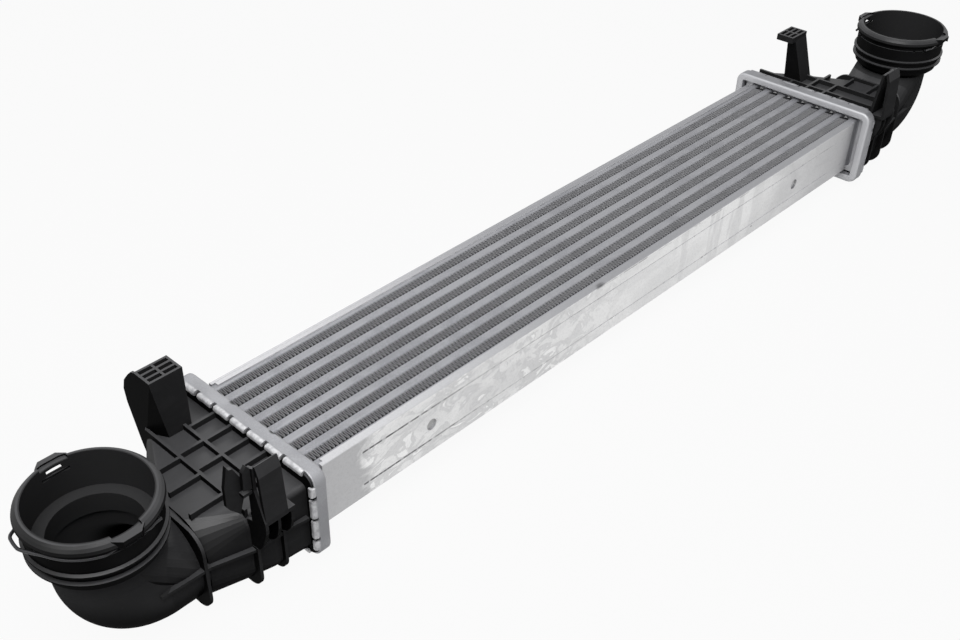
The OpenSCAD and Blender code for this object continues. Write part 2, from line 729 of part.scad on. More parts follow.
placed() header_plate_left();
placed() header_plate_right();
placed() side_plate_front();
placed() side_plate_back();
placed() tube(1);  // tube_1
placed() tube(2);  // tube_2
placed() tube(3);  // tube_3
placed() tube(4);  // tube_4
placed() tube(5);  // tube_5
placed() tube(6);  // tube_6
placed() tube(7);  // tube_7
placed() tube(8);  // tube_8
placed() fin_row(1);  // fin_row_1
placed() fin_row(2);  // fin_row_2
placed() fin_row(3);  // fin_row_3
placed() fin_row(4);  // fin_row_4
placed() fin_row(5);  // fin_row_5
placed() fin_row(6);  // fin_row_6
placed() fin_row(7);  // fin_row_7
placed() tube_insert(1);  // tube_insert_1
placed() tube_insert(2);  // tube_insert_2
placed() tube_insert(3);  // tube_insert_3
placed() tube_insert(4);  // tube_insert_4
placed() tube_insert(5);  // tube_insert_5
placed() tube_insert(6);  // tube_insert_6
placed() tube_insert(7);  // tube_insert_7
placed() tube_insert(8);  // tube_insert_8
placed() tank_seal_left();
placed() tank_seal_right();
placed() tank_left();
placed() tank_right();
placed() spring_clip_left();
placed() spring_clip_right();
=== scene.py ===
import logging
import math
from dataclasses import dataclass, field
from enum import Enum
from typing import Iterable, Sequence

import bmesh
import bpy
import numpy as np
from mathutils import Matrix, Vector


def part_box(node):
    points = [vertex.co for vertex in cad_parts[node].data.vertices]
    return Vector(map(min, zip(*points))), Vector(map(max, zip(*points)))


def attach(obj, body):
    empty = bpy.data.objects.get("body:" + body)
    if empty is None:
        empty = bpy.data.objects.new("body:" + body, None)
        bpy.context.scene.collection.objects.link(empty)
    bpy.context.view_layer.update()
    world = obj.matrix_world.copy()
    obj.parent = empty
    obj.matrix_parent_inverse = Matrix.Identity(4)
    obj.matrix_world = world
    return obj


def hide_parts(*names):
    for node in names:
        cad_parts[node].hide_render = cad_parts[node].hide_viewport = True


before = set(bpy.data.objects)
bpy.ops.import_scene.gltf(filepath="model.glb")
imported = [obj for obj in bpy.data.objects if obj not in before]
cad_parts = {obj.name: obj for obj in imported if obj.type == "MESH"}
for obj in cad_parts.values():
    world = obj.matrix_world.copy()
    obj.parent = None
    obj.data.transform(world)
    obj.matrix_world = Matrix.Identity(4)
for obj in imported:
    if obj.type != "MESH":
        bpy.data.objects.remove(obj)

"""Looks of an air-to-air charge cooler: brazed aluminium core, moulded tanks, wire clips.

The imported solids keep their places. The fins, side plates, header plates and spring clips are rebuilt
with the detail that the solids leave out, and every node gets a finish from noise and geometry.
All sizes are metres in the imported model's own frame.
"""

Triple = tuple[float, float, float]
# Middle, half axes, and tone or depth of a mark.
Mark = tuple[Triple, Triple, float]
# Name, place, aim, side of the square and watts of a lamp.
Lamp = tuple[str, Triple, Triple, float, float]

LOG = logging.getLogger("cooler")
MM = 0.001
TUBES = 8
WHITE = (1.0, 1.0, 1.0, 1.0)
# The core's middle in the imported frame.
ORIGIN_Y = 0.00164
ORIGIN_Z = 0.0434
# The hose sockets' axes: distance along X, mean place along Y, and each one's offset from it.
SOCKET_X = 0.4606
SOCKET_Y = -0.02141
SOCKET_SHIFT = 0.00175


class End(Enum):
    """The two ends of the core along X."""

    LEFT = -1
    RIGHT = 1

    @property
    def tag(self) -> str:
        """Word used in piece names."""
        return self.name.lower()


class Link:
    """A node socket that takes part in arithmetic, adding Math nodes as it goes."""

    def __init__(self, shader: "Shader", socket: bpy.types.NodeSocket) -> None:
        """Wraps an output socket of one shader."""
        self.shader = shader
        self.socket = socket

    def __add__(self, other: "Link | float") -> "Link":
        """Sum."""
        return self.shader.math("ADD", self, other)

    __radd__ = __add__

    def __mul__(self, other: "Link | float") -> "Link":
        """Product."""
        return self.shader.math("MULTIPLY", self, other)

    __rmul__ = __mul__

    def __sub__(self, other: "Link | float") -> "Link":
        """Difference."""
        return self.shader.math("SUBTRACT", self, other)

    def __rsub__(self, other: float) -> "Link":
        """Difference, reflected."""
        return self.shader.math("SUBTRACT", other, self)

    def __pow__(self, other: float) -> "Link":
        """Power."""
        return self.shader.math("POWER", self, other)

    def band(self, low: float, high: float) -> "Link":
        """Smooth step from 0 at low to 1 at high.

        Args:
            low: value that gives 0.
            high: value that gives 1.

        Returns:
            The mask.
        """
        node = self.shader.node("ShaderNodeMapRange", {"interpolation_type": "SMOOTHSTEP"},
                                {"Value": self, "From Min": low, "From Max": high})
        return Link(self.shader, node.outputs["Result"])


def feed(tree: bpy.types.NodeTree, socket: bpy.types.NodeSocket, value: object) -> None:
    """Links a socket to another one or to a Link, or sets its value."""
    if isinstance(value, Link):
        value = value.socket
    if isinstance(value, bpy.types.NodeSocket):
        tree.links.new(value, socket)
    else:
        socket.default_value = value


def add_node(tree: bpy.types.NodeTree, kind: str, settings: dict | None = None,
             values: dict | None = None) -> bpy.types.Node:
    """Adds a node to a tree.

    Args:
        tree: the node tree.
        kind: the node's type.
        settings: attributes of the node, set first.
        values: socket names or numbers with a value, a socket or a Link for each.

    Returns:
        The node.
    """
    made = tree.nodes.new(kind)
    for key, value in (settings or {}).items():
        setattr(made, key, value)
    for key, value in (values or {}).items():
        feed(tree, made.inputs[key], value)
    return made


class Shader:
    """A principled material under construction."""

    def __init__(self, name: str) -> None:
        """Makes an empty material with its principled shader and Object coordinates.

        Args:
            name: name of the material.
        """
        self.material = bpy.data.materials.new(name)
        self.material.use_nodes = True
        self.tree = self.material.node_tree
        self.tree.nodes.clear()
        self.bsdf = self.node("ShaderNodeBsdfPrincipled")
        self.node("ShaderNodeOutputMaterial", None, {"Surface": self.bsdf.outputs[0]})
        self.place = Link(self, self.node("ShaderNodeTexCoord").outputs["Object"])

    def node(self, kind: str, settings: dict | None = None, values: dict | None = None) -> bpy.types.Node:
        """Adds a node to the material, as add_node does."""
        return add_node(self.tree, kind, settings, values)

    def math(self, operation: str, *terms: "Link | float") -> Link:
        """Adds a Math node over one or two values or Links."""
        made = self.node("ShaderNodeMath", {"operation": operation}, dict(enumerate(terms)))
        return Link(self, made.outputs[0])

    def noise(self, scale: float, detail: float = 3.0, rough: float = 0.55,
              stretch: Sequence[float] = (1.0, 1.0, 1.0), warp: float = 0.0) -> Link:
        """Noise over the object's own coordinates.

        Args:
            scale: cells per metre.
            detail: octaves.
            rough: weight of the finer octaves.
            stretch: scale of each axis.
            warp: distortion.

        Returns:
            The noise, around 0.5.
        """
        mapped = self.node("ShaderNodeMapping", None, {"Vector": self.place, "Scale": stretch})
        made = self.node("ShaderNodeTexNoise", None,
                         {"Vector": Link(self, mapped.outputs[0]), "Scale": scale, "Detail": detail,
                          "Roughness": rough, "Distortion": warp})
        return Link(self, made.outputs[0])

    def axis(self, name: str) -> Link:
        """One coordinate of the place, in metres."""
        made = self.node("ShaderNodeSeparateXYZ", None, {0: self.place})
        return Link(self, made.outputs[name])

    def facing(self, name: str) -> Link:
        """One component of the surface's normal."""
        geometry = self.node("ShaderNodeNewGeometry")
        made = self.node("ShaderNodeSeparateXYZ", None, {0: Link(self, geometry.outputs["Normal"])})
        return Link(self, made.outputs[name])

    def spot(self, centre: Sequence[float], size: Sequence[float], soft: float = 0.6) -> Link:
        """Mask of an ellipsoid: 1 inside, fading to 0 at its surface.

        Args:
            centre: middle of the spot, in metres.
            size: its half axes, in metres.
            soft: share of the radius over which it fades.

        Returns:
            The mask.
        """
        near = self.node("ShaderNodeVectorMath", {"operation": "SUBTRACT"},
                         {0: self.place, 1: tuple(centre)})
        scaled = self.node("ShaderNodeVectorMath", {"operation": "DIVIDE"},
                           {0: Link(self, near.outputs[0]), 1: tuple(size)})
        length = self.node("ShaderNodeVectorMath", {"operation": "LENGTH"},
                           {0: Link(self, scaled.outputs[0])})
        return Link(self, length.outputs["Value"]).band(1.0, 1.0 - soft)

    def blend(self, factor: "Link | float", first: "Link | Sequence[float]",
              second: "Link | Sequence[float]") -> Link:
        """Mixes two colours.

        Args:
            factor: share of the second colour.
            first: colour at 0.
            second: colour at 1.

        Returns:
            The mixed colour.
        """
        made = self.node("ShaderNodeMix", {"data_type": "RGBA"}, {0: factor})
        for index, value in ((6, first), (7, second)):
            feed(self.tree, made.inputs[index], value if isinstance(value, Link) else (*value, 1.0))
        return Link(self, made.outputs[2])

    def bump(self, height: Link, strength: float, distance: float, below: Link | None = None) -> Link:
        """Bump from a height.

        Args:
            height: the height field.
            strength: how strongly it shows.
            distance: depth in metres for a height of 1.
            below: normal that it builds on.

        Returns:
            The normal.
        """
        values = {"Height": height, "Strength": strength, "Distance": distance}
        if below is not None:
            values["Normal"] = below
        return Link(self, self.node("ShaderNodeBump", None, values).outputs[0])

    def finish(self, **values: "Link | float") -> bpy.types.Material:
        """Feeds the principled shader and hands over the material.

        Args:
            values: socket names, with _ for a space, and their values.

        Returns:
            The finished material.
        """
        for key, value in values.items():
            feed(self.tree, self.bsdf.inputs[key.replace("_", " ")], value)
        return self.material


@dataclass(frozen=True)
class BrazedSheet:
    """Brazed aluminium sheet: light grey with cloudy flux stains and fine rolling lines. Spots paint light or
    shade at given places; on the header plates the near tabs carry a painted highlight, the far top a painted
    shade and the far face towards the core painted light.
    """

    name: str
    bright: Triple
    dull: Triple
    rough: float
    metal: float
    cloud: float
    lines: Triple = (0.03, 1.0, 1.0)
    crimp_from: float = 0.0
    # Spots of painted light or painted shade at given places.
    lit_and_shaded_spots: tuple[Mark, ...] = ()
    speck: Triple = (0.7, 0.71, 0.72)
    # Painted highlight on the near header plate's folded tabs.
    crimp: Triple = (0.68, 0.68, 0.69)
    # Painted shade on the far header plate's top faces, then painted light on its faces towards the core.
    far_top_shade: Triple = (0.2, 0.202, 0.215)
    far_face_light: Triple = (0.66, 0.662, 0.68)

    def build(self) -> bpy.types.Material:
        """Returns the material."""
        s = Shader(self.name)
        clouds = s.noise(26.0, 4.0, 0.62, warp=0.6)
        specks = s.noise(900.0, 2.0, 0.7)
        drawn = s.noise(1500.0, 3.0, 0.6, stretch=self.lines)
        stain = (clouds * 0.6 + specks * 0.4).band(0.44, 0.6) * self.cloud
        colour = s.blend(stain, self.bright, self.dull)
        colour = s.blend(specks.band(0.6, 0.78) * 0.3, colour, self.speck)
        if self.crimp_from:
            pressed = s.noise(260.0, 3.0, 0.6).band(0.35, 0.6)
            # Painted highlight on the near plate's folded tabs, made lumpy by noise.
            folded = s.axis("X").band(-self.crimp_from, -self.crimp_from - 1.6 * MM)
            colour = s.blend(folded * (0.3 + pressed * 0.6), colour, self.crimp)
            # Painted light and shade on the far header plate: its top faces darker, its faces towards the core
            # lighter.
            away = s.axis("X").band(0.2, 0.3)
            colour = s.blend(away * s.facing("Z").band(0.5, 0.95) * 0.5, colour, self.far_top_shade)
            colour = s.blend(away * s.facing("X").band(-0.3, -0.85) * 0.75, colour, self.far_face_light)
        # Spots of painted light or painted shade at given places.
        for centre, size, tone in self.lit_and_shaded_spots:
            colour = s.blend(s.spot(centre, size, 0.5), colour, (tone, tone, tone))
        normal = s.bump(drawn * 0.6 + specks * 0.4, 0.25, 0.00012)
        return s.finish(Base_Color=colour, Metallic=self.metal, Normal=normal,
                        Roughness=drawn * 0.14 + stain * 0.12 + (self.rough - 0.07))


@dataclass(frozen=True)
class PressedPlate:
    """Sheet of the side plates, with the stains, scratches and marks that the real one shows, and painted shade
    towards both ends, on the upward flange tops and in the dent of the top edge.
    """

    name: str
    bright: Triple
    dull: Triple
    rough: float
    # Painted shade towards both ends of the plate.
    end_shade_tone: Triple = (0.46, 0.46, 0.47)
    # Painted shade of the upward flange tops at the far end.
    flange: Triple = (0.33, 0.332, 0.348)
    dark: Triple = (0.1, 0.1, 0.105)
    chalk: Triple = (0.97, 0.97, 0.97)
    # Painted shade of the upward flange tops at the near end.
    near_flange_shade: Triple = (0.56, 0.56, 0.575)
    edge_height: float = 23.6 * MM
    marks: tuple[Mark, ...] = ()

    def dashes(self, s: Shader, height: float, along: Link) -> Link:
        """Mask of a pressed line that is dark near the left end and fades to the right.

        Args:
            s: the material under construction.
            height: the line's distance from the core's middle along Z.
            along: distance along X.

        Returns:
            The mask.
        """
        off = s.math("ABSOLUTE", s.axis("Z") - (ORIGIN_Z + height))
        broken = s.noise(170.0, 3.0, 0.7, stretch=(1.0, 0.0, 0.2))
        start = -SidePlate.line_end
        strong = along.band(-0.15, -0.285) * along.band(start - 1.5 * MM, start - 0.5 * MM)
        faint = broken.band(0.5, 0.62) * along.band(-0.3, -0.25) * 0.3
        return off.band(0.95 * MM, 0.5 * MM) * (strong * broken.band(0.36, 0.5) + faint)

    def build(self) -> bpy.types.Material:
        """Returns the material."""
        s = Shader(self.name)
        along = s.axis("X")
        clouds = s.noise(17.0, 5.0, 0.6, stretch=(0.5, 1.0, 1.6), warp=0.8)
        islands = s.noise(48.0, 4.0, 0.55, stretch=(0.8, 1.0, 1.3), warp=1.6)
        streaks = s.noise(55.0, 3.0, 0.6, stretch=(1.0, 1.0, 0.12), warp=0.3)
        drawn = s.noise(1300.0, 3.0, 0.6, stretch=(0.02, 1.0, 1.0))
        grain = s.noise(700.0, 2.0, 0.7)
        blotchy = along.band(-0.293, -0.288) * along.band(0.03, -0.12)
        colour = s.blend(clouds.band(0.42, 0.62) * 0.55, self.bright, self.dull)
        colour = s.blend(islands.band(0.47, 0.51) * blotchy * 0.8, colour, self.dull)
        colour = s.blend(islands.band(0.60, 0.63) * blotchy, colour, self.chalk)
        smear = along.band(0.03, 0.07) * along.band(0.2, 0.15)
        colour = s.blend(streaks.band(0.5, 0.58) * smear * 0.7, colour, self.dull)
        # Painted shade: the plate darkens towards both ends, along a ragged border.
        ragged = along + clouds * 0.05 + islands * 0.03
        ends = ragged.band(-0.245, -0.258) + ragged.band(0.17, 0.34)
        colour = s.blend(ends * 0.85, colour, self.end_shade_tone)
        # Painted shade on upward faces: the flange tops darken, less so towards the near end.
        edge = s.blend(along.band(-0.02, -0.3), self.flange, self.near_flange_shade)
        colour = s.blend(s.facing("Z").band(0.2, 0.8), colour, edge)
        worn = s.math("ABSOLUTE", s.axis("Z") - (ORIGIN_Z + self.edge_height)).band(0.9 * MM, 0.3 * MM)
        nicks = s.noise(120.0, 3.0, 0.65, stretch=(0.35, 1.0, 1.0)).band(0.48, 0.58)
        worn = worn * along.band(-0.07, 0.0) * along.band(0.19, 0.12) * nicks
        colour = s.blend(worn * 0.5, colour, self.dark)
        for height in (SidePlate.line_height, -SidePlate.line_height):
            colour = s.blend(self.dashes(s, height, along) * 0.9, colour, self.dark)
        # The first mark is painted shade in the dent pushed into the front plate's top edge; the other two are
        # dark spots on the lower pressed line.
        for centre, size, depth in self.marks:
            colour = s.blend(s.spot(centre, size, 0.8) * depth, colour, self.dark)
        colour = s.blend(grain.band(0.4, 0.75) * 0.12, colour, self.dark)
        normal = s.bump(drawn * 0.4 + clouds * 0.4 + grain * 0.2, 0.3, 0.00025)
        return s.finish(Base_Color=colour, Metallic=0.8, Normal=normal,
                        Roughness=drawn * 0.1 + islands * 0.16 + (self.rough - 0.13))


@dataclass(frozen=True)
class FinStock:
    """Thin fin sheet: mid grey at the top edges, with painted shade below them between the tubes and at the ends
    inside the header recesses.
    """

    name: str
    bright: Triple
    # Painted shade deep between the tubes.
    deep_shade: Triple
    top: float
    depth: float
    end: float = 0.3265

    def build(self) -> bpy.types.Material:
        """Returns the material."""
        s = Shader(self.name)
        # Painted shade: below their top edges the fins darken between the tubes, and at both ends inside the
        # header recesses.
        lit_top = s.axis("Z").band(self.top - self.depth, self.top)
        patch = s.noise(30.0, 3.0, 0.6, warp=0.5)
        ends = s.math("ABSOLUTE", s.axis("X")).band(self.end, self.end + 2.0 * MM)
        colour = s.blend(lit_top, self.deep_shade, self.bright)
        colour = s.blend(patch.band(0.45, 0.7) * 0.12, colour, self.deep_shade)
        colour = s.blend(ends, colour, self.deep_shade)
        return s.finish(Base_Color=colour, Metallic=0.35, Roughness=0.42 + patch * 0.1,
                        Normal=s.bump(s.noise(2500.0, 2.0), 0.15, 0.00005))


@dataclass(frozen=True)
class MouldedPlastic:
    """Glass-filled nylon: near-black, satin, with a fine sparked grain, flow marks and dust; painted light on
    upward and front faces and in the socket bores, painted shade on outward and downward faces and on the upper
    socket necks.
    """

    name: str
    base: Triple
    # Painted light of upward and front faces; flow marks share this tone.
    lit_and_flow_tone: Triple
    rough: float
    # Painted shade of the socket necks and of outward faces.
    shade: Triple = (0.0025, 0.0025, 0.0026)
    # Painted shade of faces that point down.
    underside_shade: Triple = (0.002, 0.002, 0.002)
    # Painted light of the socket bores.
    lit_bore: Triple = (0.038, 0.038, 0.039)
    dusty: Triple = (0.09, 0.09, 0.095)
    bore_radius: float = 37.0 * MM
    neck_radius: float = 47.0 * MM
    neck_height: float = 70.0 * MM

    def build(self) -> bpy.types.Material:
        """Returns the material."""
        s = Shader(self.name)
        grain = s.noise(2600.0, 3.0, 0.65)
        flow = s.noise(60.0, 4.0, 0.6, stretch=(0.5, 1.0, 1.0), warp=1.4)
        dust = s.noise(420.0, 3.0, 0.7)
        side = s.axis("X")
        off_x = s.math("ABSOLUTE", side) - SOCKET_X
        off_y = s.axis("Y") + s.math("SIGN", side) * SOCKET_SHIFT - SOCKET_Y
        radius = (off_x * off_x + off_y * off_y) ** 0.5
        inside = radius.band(self.bore_radius + 0.8 * MM, self.bore_radius)
        # Painted light: faces that point up, and less so those towards the front, lighten; the bores are left
        # out of it.
        up = s.facing("Z").band(0.0, 0.95) * (1.0 - inside * 0.85)
        front = s.facing("Y").band(-0.15, -0.9) * (1.0 - up)
        colour = s.blend(flow.band(0.4, 0.7) * 0.1 + front * 0.2 + up * 0.7, self.base, self.lit_and_flow_tone)
        # Painted shade on the upper socket necks, on faces that don't point up.
        neck_shade = radius.band(self.neck_radius + 2.0 * MM, self.neck_radius) * (1.0 - up)
        neck_shade = neck_shade * s.axis("Z").band(self.neck_height, self.neck_height + 8.0 * MM)
        colour = s.blend(neck_shade * 0.75, colour, self.shade)
        # Painted shade on faces that point away from the core along X.
        outward_shade = (s.facing("X") * s.math("SIGN", side)).band(0.0, 0.6)
        colour = s.blend(outward_shade * 0.85, colour, self.shade)
        # Painted light inside the socket bores.
        colour = s.blend(inside * 0.85, colour, self.lit_bore)
        # Painted shade on faces that point down.
        under = s.facing("Z").band(0.05, -0.45)
        colour = s.blend(under, colour, self.underside_shade)
        colour = s.blend(dust.band(0.66, 0.8) * 0.2, colour, self.dusty)
        normal = s.bump(grain, 0.22, 0.00012)
        normal = s.bump(flow, 0.25, 0.0006, normal)
        return s.finish(Base_Color=colour, Normal=normal,
                        Roughness=flow * 0.16 + grain * 0.1 + under * 0.3 + (self.rough - 0.13),
                        Specular_IOR_Level=0.0, Coat_Weight=up * 0.5 + 0.04, Coat_Roughness=0.34)


@dataclass(frozen=True)
class PlainCoat:
    """Rubber or coated wire: one dark colour with a light grain."""

    name: str
    base: Triple
    rough: float
    metal: float = 0.0
    grain: float = 1800.0

    def build(self) -> bpy.types.Material:
        """Returns the material."""
        s = Shader(self.name)
        grain = s.noise(self.grain, 3.0, 0.6)
        colour = s.blend(grain.band(0.45, 0.75) * 0.4, self.base, tuple(c * 2.2 + 0.01 for c in self.base))
        return s.finish(Base_Color=colour, Metallic=self.metal, Normal=s.bump(grain, 0.2, 0.0001),
                        Roughness=grain * 0.16 + (self.rough - 0.08))


def mesh_object(name: str, points: np.ndarray, faces: Iterable[Sequence[int]], smooth: float | None,
                material: bpy.types.Material) -> bpy.types.Object:
    """Puts worked-out points and faces into an object at the origin.

    Args:
        name: name of the object.
        points: N by 3 array in metres.
        faces: index rows, all of one length or a list of rows.
        smooth: angle in degrees under which neighbouring faces shade smoothly, or None for flat.
        material: finish of the piece.

    Returns:
        The object.
    """
    mesh = bpy.data.meshes.new(name)
    rows = faces.tolist() if isinstance(faces, np.ndarray) else [list(f) for f in faces]
    mesh.from_pydata(np.asarray(points, float).tolist(), [], rows)
    mesh.validate()
    made = bpy.data.objects.new(name, mesh)
    bpy.context.collection.objects.link(made)
    if smooth is not None:
        mesh.shade_smooth()
        mesh.set_sharp_from_angle(angle=math.radians(smooth))
    mesh.materials.append(material)
    return made


def grid_faces(rows: int, columns: int, close_rows: bool = False, close_columns: bool = False,
               start: int = 0) -> np.ndarray:
    """Quads of a grid of points numbered row by row.

    Args:
        rows: number of rows.
        columns: number of columns.
        close_rows: whether the last row meets the first.
        close_columns: whether the last column meets the first.
        start: number of the first point.

    Returns:
        Index array, four to a row.
    """
    r = np.arange(rows if close_rows else rows - 1)[:, None]
    c = np.arange(columns if close_columns else columns - 1)[None, :]
    r1, c1 = (r + 1) % rows, (c + 1) % columns
    quads = np.stack([r * columns + c, r1 * columns + c, r1 * columns + c1, r * columns + c1], -1)
    return quads.reshape(-1, 4) + start


@dataclass
class Shape:
    """Points and faces gathered from several surfaces."""

    points: list[np.ndarray] = field(default_factory=list)
    faces: list[list[int]] = field(default_factory=list)
    count: int = 0

    def add(self, points: np.ndarray, faces: Iterable[Sequence[int]]) -> None:
        """Adds a surface.

        Args:
            points: N by 3 array.
            faces: its faces, numbered from 0.
        """
        flat = np.asarray(points, float).reshape(-1, 3)
        self.points.append(flat)
        self.faces.extend([[int(i) + self.count for i in f] for f in faces])
        self.count += len(flat)

    def tube(self, rings: np.ndarray, closed: bool = False) -> None:
        """Adds a skin over closed rings, with flat caps unless it closes on itself.

        Args:
            rings: R by S by 3 array, each ring in one turning sense.
            closed: whether the last ring meets the first.
        """
        count, sides = rings.shape[:2]
        quads = grid_faces(count, sides, close_rows=closed, close_columns=True).tolist()
        if not closed:
            quads.append(list(range(sides)))
            quads.append([(count - 1) * sides + i for i in range(sides)][::-1])
        self.add(rings, quads)

    def build(self, name: str, material: bpy.types.Material, smooth: float = 40.0) -> bpy.types.Object:
        """Makes the object, with its faces turned outwards.

        Args:
            name: name of the object.
            material: its finish.
            smooth: shading angle in degrees.

        Returns:
            The object.
        """
        made = mesh_object(name, np.concatenate(self.points), self.faces, None, material)
        turn_outwards(made)
        made.data.shade_smooth()
        made.data.set_sharp_from_angle(angle=math.radians(smooth))
        return made


def turn_outwards(piece: bpy.types.Object) -> None:
    """Recalculates the normals of a closed mesh so that they point outwards."""
    work = bmesh.new()
    work.from_mesh(piece.data)
    bmesh.ops.recalc_face_normals(work, faces=work.faces)
    work.to_mesh(piece.data)
    work.free()


def hand_over(piece: bpy.types.Object, nodes: Sequence[str] = ()) -> None:
    """Registers a piece with the frame.

    Args:
        piece: the new object.
        nodes: solids that it stands for.
    """
    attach(piece, "root")
    if nodes:
        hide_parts(*nodes)
    LOG.info("built %s: %d faces", piece.name, len(piece.data.polygons))


@dataclass
class Core:
    """Tubes, louvred fins and the brazed joints between them."""

    nose: float = 2.2 * MM
    fin_wave: float = 3.13 * MM
    leg_steps: int = 6
    slope: float = 2.2
    crest_power: float = 1.15
    sheet: float = 0.24 * MM
    louvre_angle: float = 26.0
    louvres: int = 7
    louvre_margin: float = 2.3 * MM
    louvre_rest: float = 3.8 * MM
    louvre_inset: float = 0.06
    louvre_lift: float = 0.72
    louvre_reach: float = 0.9
    row_gap: float = 0.6 * MM
    edge_gap: float = 0.1 * MM
    drop: float = 1.3 * MM
    drop_out: float = 1.6 * MM
    floor_x: float = 337.0 * MM
    bead: float = 0.9 * MM

    def fin_path(self, length: float, span: float) -> np.ndarray:
        """Middle line of a folded fin in X and Y.

        A zigzag whose crests are rounded: y follows a clipped and softened triangle wave of x.

        Args:
            length: length of the row.
            span: distance between the two tubes.

        Returns:
            N by 2 array.
        """
        legs = int(length / self.fin_wave) * 2
        t = np.arange(legs * self.leg_steps + 1) / self.leg_steps
        phase = (t + 0.5) % 2.0
        tri = 1.0 - 2.0 * np.abs(phase - 1.0)
        wave = np.clip(tri * self.slope, -1.0, 1.0)
        wave = np.sign(wave) * (1.0 - (1.0 - np.abs(wave)) ** self.crest_power)
        x = (t / legs - 0.5) * length
        return np.stack([x, wave * (span - self.sheet) / 2.0], 1)

    def fin_row(self, index: int, material: bpy.types.Material) -> bpy.types.Object:
        """Builds one louvred fin row between two tubes.

        The folded sheet is a closed strip of real thickness around its middle line, and each leg
        carries louvres: ramps that rise from the sheet on one side, turned over on the next leg.

        Args:
            index: number of the row, from 1.
            material: finish of the fins.

        Returns:
            The row.
        """
        low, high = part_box(f"fin_row_{index}")
        y_mid = (low[1] + high[1]) / 2.0
        span = high[1] - low[1]
        line = self.fin_path(high[0] - low[0] - self.row_gap, span)
        away = np.gradient(line, axis=0)
        away /= np.linalg.norm(away, axis=1)[:, None]
        side = np.stack([-away[:, 1], away[:, 0]], 1) * self.sheet / 2.0
        left, right = line + side, line - side
        z0, z1 = low[2] + self.edge_gap, high[2] - self.edge_gap
        shape = Shape()
        rings = np.stack([np.c_[edge, np.full(len(line), z)]
                          for edge, z in ((left, z0), (left, z1), (right, z1), (right, z0))], 1)
        rings[:, :, 1] = np.clip(rings[:, :, 1], -span / 2, span / 2) + y_mid
        shape.tube(rings)
        self.add_louvres(shape, line, y_mid, z0, z1)
        return mesh_object(f"louvred_fins_{index}", np.concatenate(shape.points), shape.faces, 30.0, material)

    def flux_beads(self, material: bpy.types.Material) -> bpy.types.Object:
        """Builds the drops of flux that stand between the tubes at both ends of each fin row.

        A drop is rings of a circle whose size and height follow a quarter circle.

        Args:
            material: finish of the drops.

        Returns:
            One object with all the drops.
        """
        ring = np.linspace(0, 2 * np.pi, 14, endpoint=False)
        rise = np.linspace(-0.5, np.pi / 2 - 0.08, 6)
        shape = Shape()
        for k in range(1, TUBES):
            low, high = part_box(f"fin_row_{k}")
            for end, x in ((-1, low[0]), (1, high[0])):
                rows = [np.stack([x + end * self.drop_out + self.drop * np.cos(a) * np.cos(ring),
                                  (low[1] + high[1]) / 2 + 1.1 * self.drop * np.cos(a) * np.sin(ring),
                                  np.full(len(ring), high[2] - MM + 0.8 * self.drop * np.sin(a))], 1)
                        for a in rise]
                shape.tube(np.stack(rows))
        return shape.build("flux_beads", material)

    def add_louvres(self, shape: Shape, line: np.ndarray, y_mid: float, z0: float, z1: float) -> None:
        """Adds the louvres of all legs of a fin row, as wedges in whole arrays.

        Each louvre is a ramp from the sheet at its low edge to a lip at its high edge, with a riser
        back to the sheet; two banks, one above and one below the middle, are tilted opposite ways.

        Args:
            shape: shape that takes the louvres.
            line: middle line of the sheet, leg_steps to a leg.
            y_mid: middle of the row across Y.
            z0: lower edge of the sheet.
            z1: upper edge of the sheet.
        """
        start, end = line[self.leg_steps - 1:-2:self.leg_steps], line[self.leg_steps + 1::self.leg_steps]
        legs = min(len(start), len(end))
        start, end = start[:legs], end[:legs]
        along = end - start
        normal = np.stack([-along[:, 1], along[:, 0]], 1)
        normal /= np.linalg.norm(normal, axis=1)[:, None]
        a, b = start + along * self.louvre_inset, end - along * self.louvre_inset
        step = ((z1 - z0) / 2.0 - self.louvre_rest) / self.louvres
        rise = math.tan(math.radians(self.louvre_angle)) * step * self.louvre_lift
        for bank, base in ((1, z1 - self.louvre_margin), (-1, z0 + self.louvre_margin)):
            levels = base - bank * step * np.arange(self.louvres)
            for flip in (1, -1):
                top = levels[None, :, None]
                foot = top - bank * step * self.louvre_reach
                lip = normal[:, None, :] * (flip * rise + flip * self.sheet / 2)
                skin = normal[:, None, :] * (flip * self.sheet / 2)
                first, last = (top, foot) if flip == 1 else (foot, top)
                p = [np.concatenate([np.broadcast_to(q[:, None, :] + off, (legs, self.louvres, 2)),
                                     np.broadcast_to(z, (legs, self.louvres, 1))], -1)
                     for q, off, z in ((a, lip, first), (b, lip, first), (b, skin, last),
                                       (a, skin, last), (a, skin, first), (b, skin, first))]
                block = np.stack(p, 2).reshape(-1, 6, 3)
                block[:, :, 1] += y_mid
                first_point = np.arange(len(block))[:, None] * 6
                faces = np.concatenate([first_point + np.array(q) for q in ((0, 1, 2, 3), (4, 5, 1, 0))])
                if flip * bank < 0:
                    faces = faces[:, ::-1]
                shape.add(block.reshape(-1, 3), faces)

    def fillets(self, material: bpy.types.Material) -> bpy.types.Object:
        """Builds the brazed beads where the tubes pass through the header plates.

        Each bead is a small triangular profile carried round the tube's rounded rectangle.

        Args:
            material: finish of the beads.

        Returns:
            One object with all the beads.
        """
        shape = Shape()
        for end in End:
            for k in range(1, TUBES + 1):
                low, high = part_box(f"tube_{k}")
                mid = (low + high) / 2.0
                half = (high - low) / 2.0
                rows = []
                for dx, grow in ((0.0, 0.0), (0.0, self.bead), (-self.bead, 0.0)):
                    loop = rounded_loop((half[1] + grow) * 2, (half[2] + grow) * 2, self.nose + grow, 5)
                    rows.append(np.c_[np.full(len(loop), end.value * (self.floor_x + dx)), loop + mid[1:]])
                shape.tube(np.stack(rows, 1), closed=True)
        return shape.build("braze_beads", material)

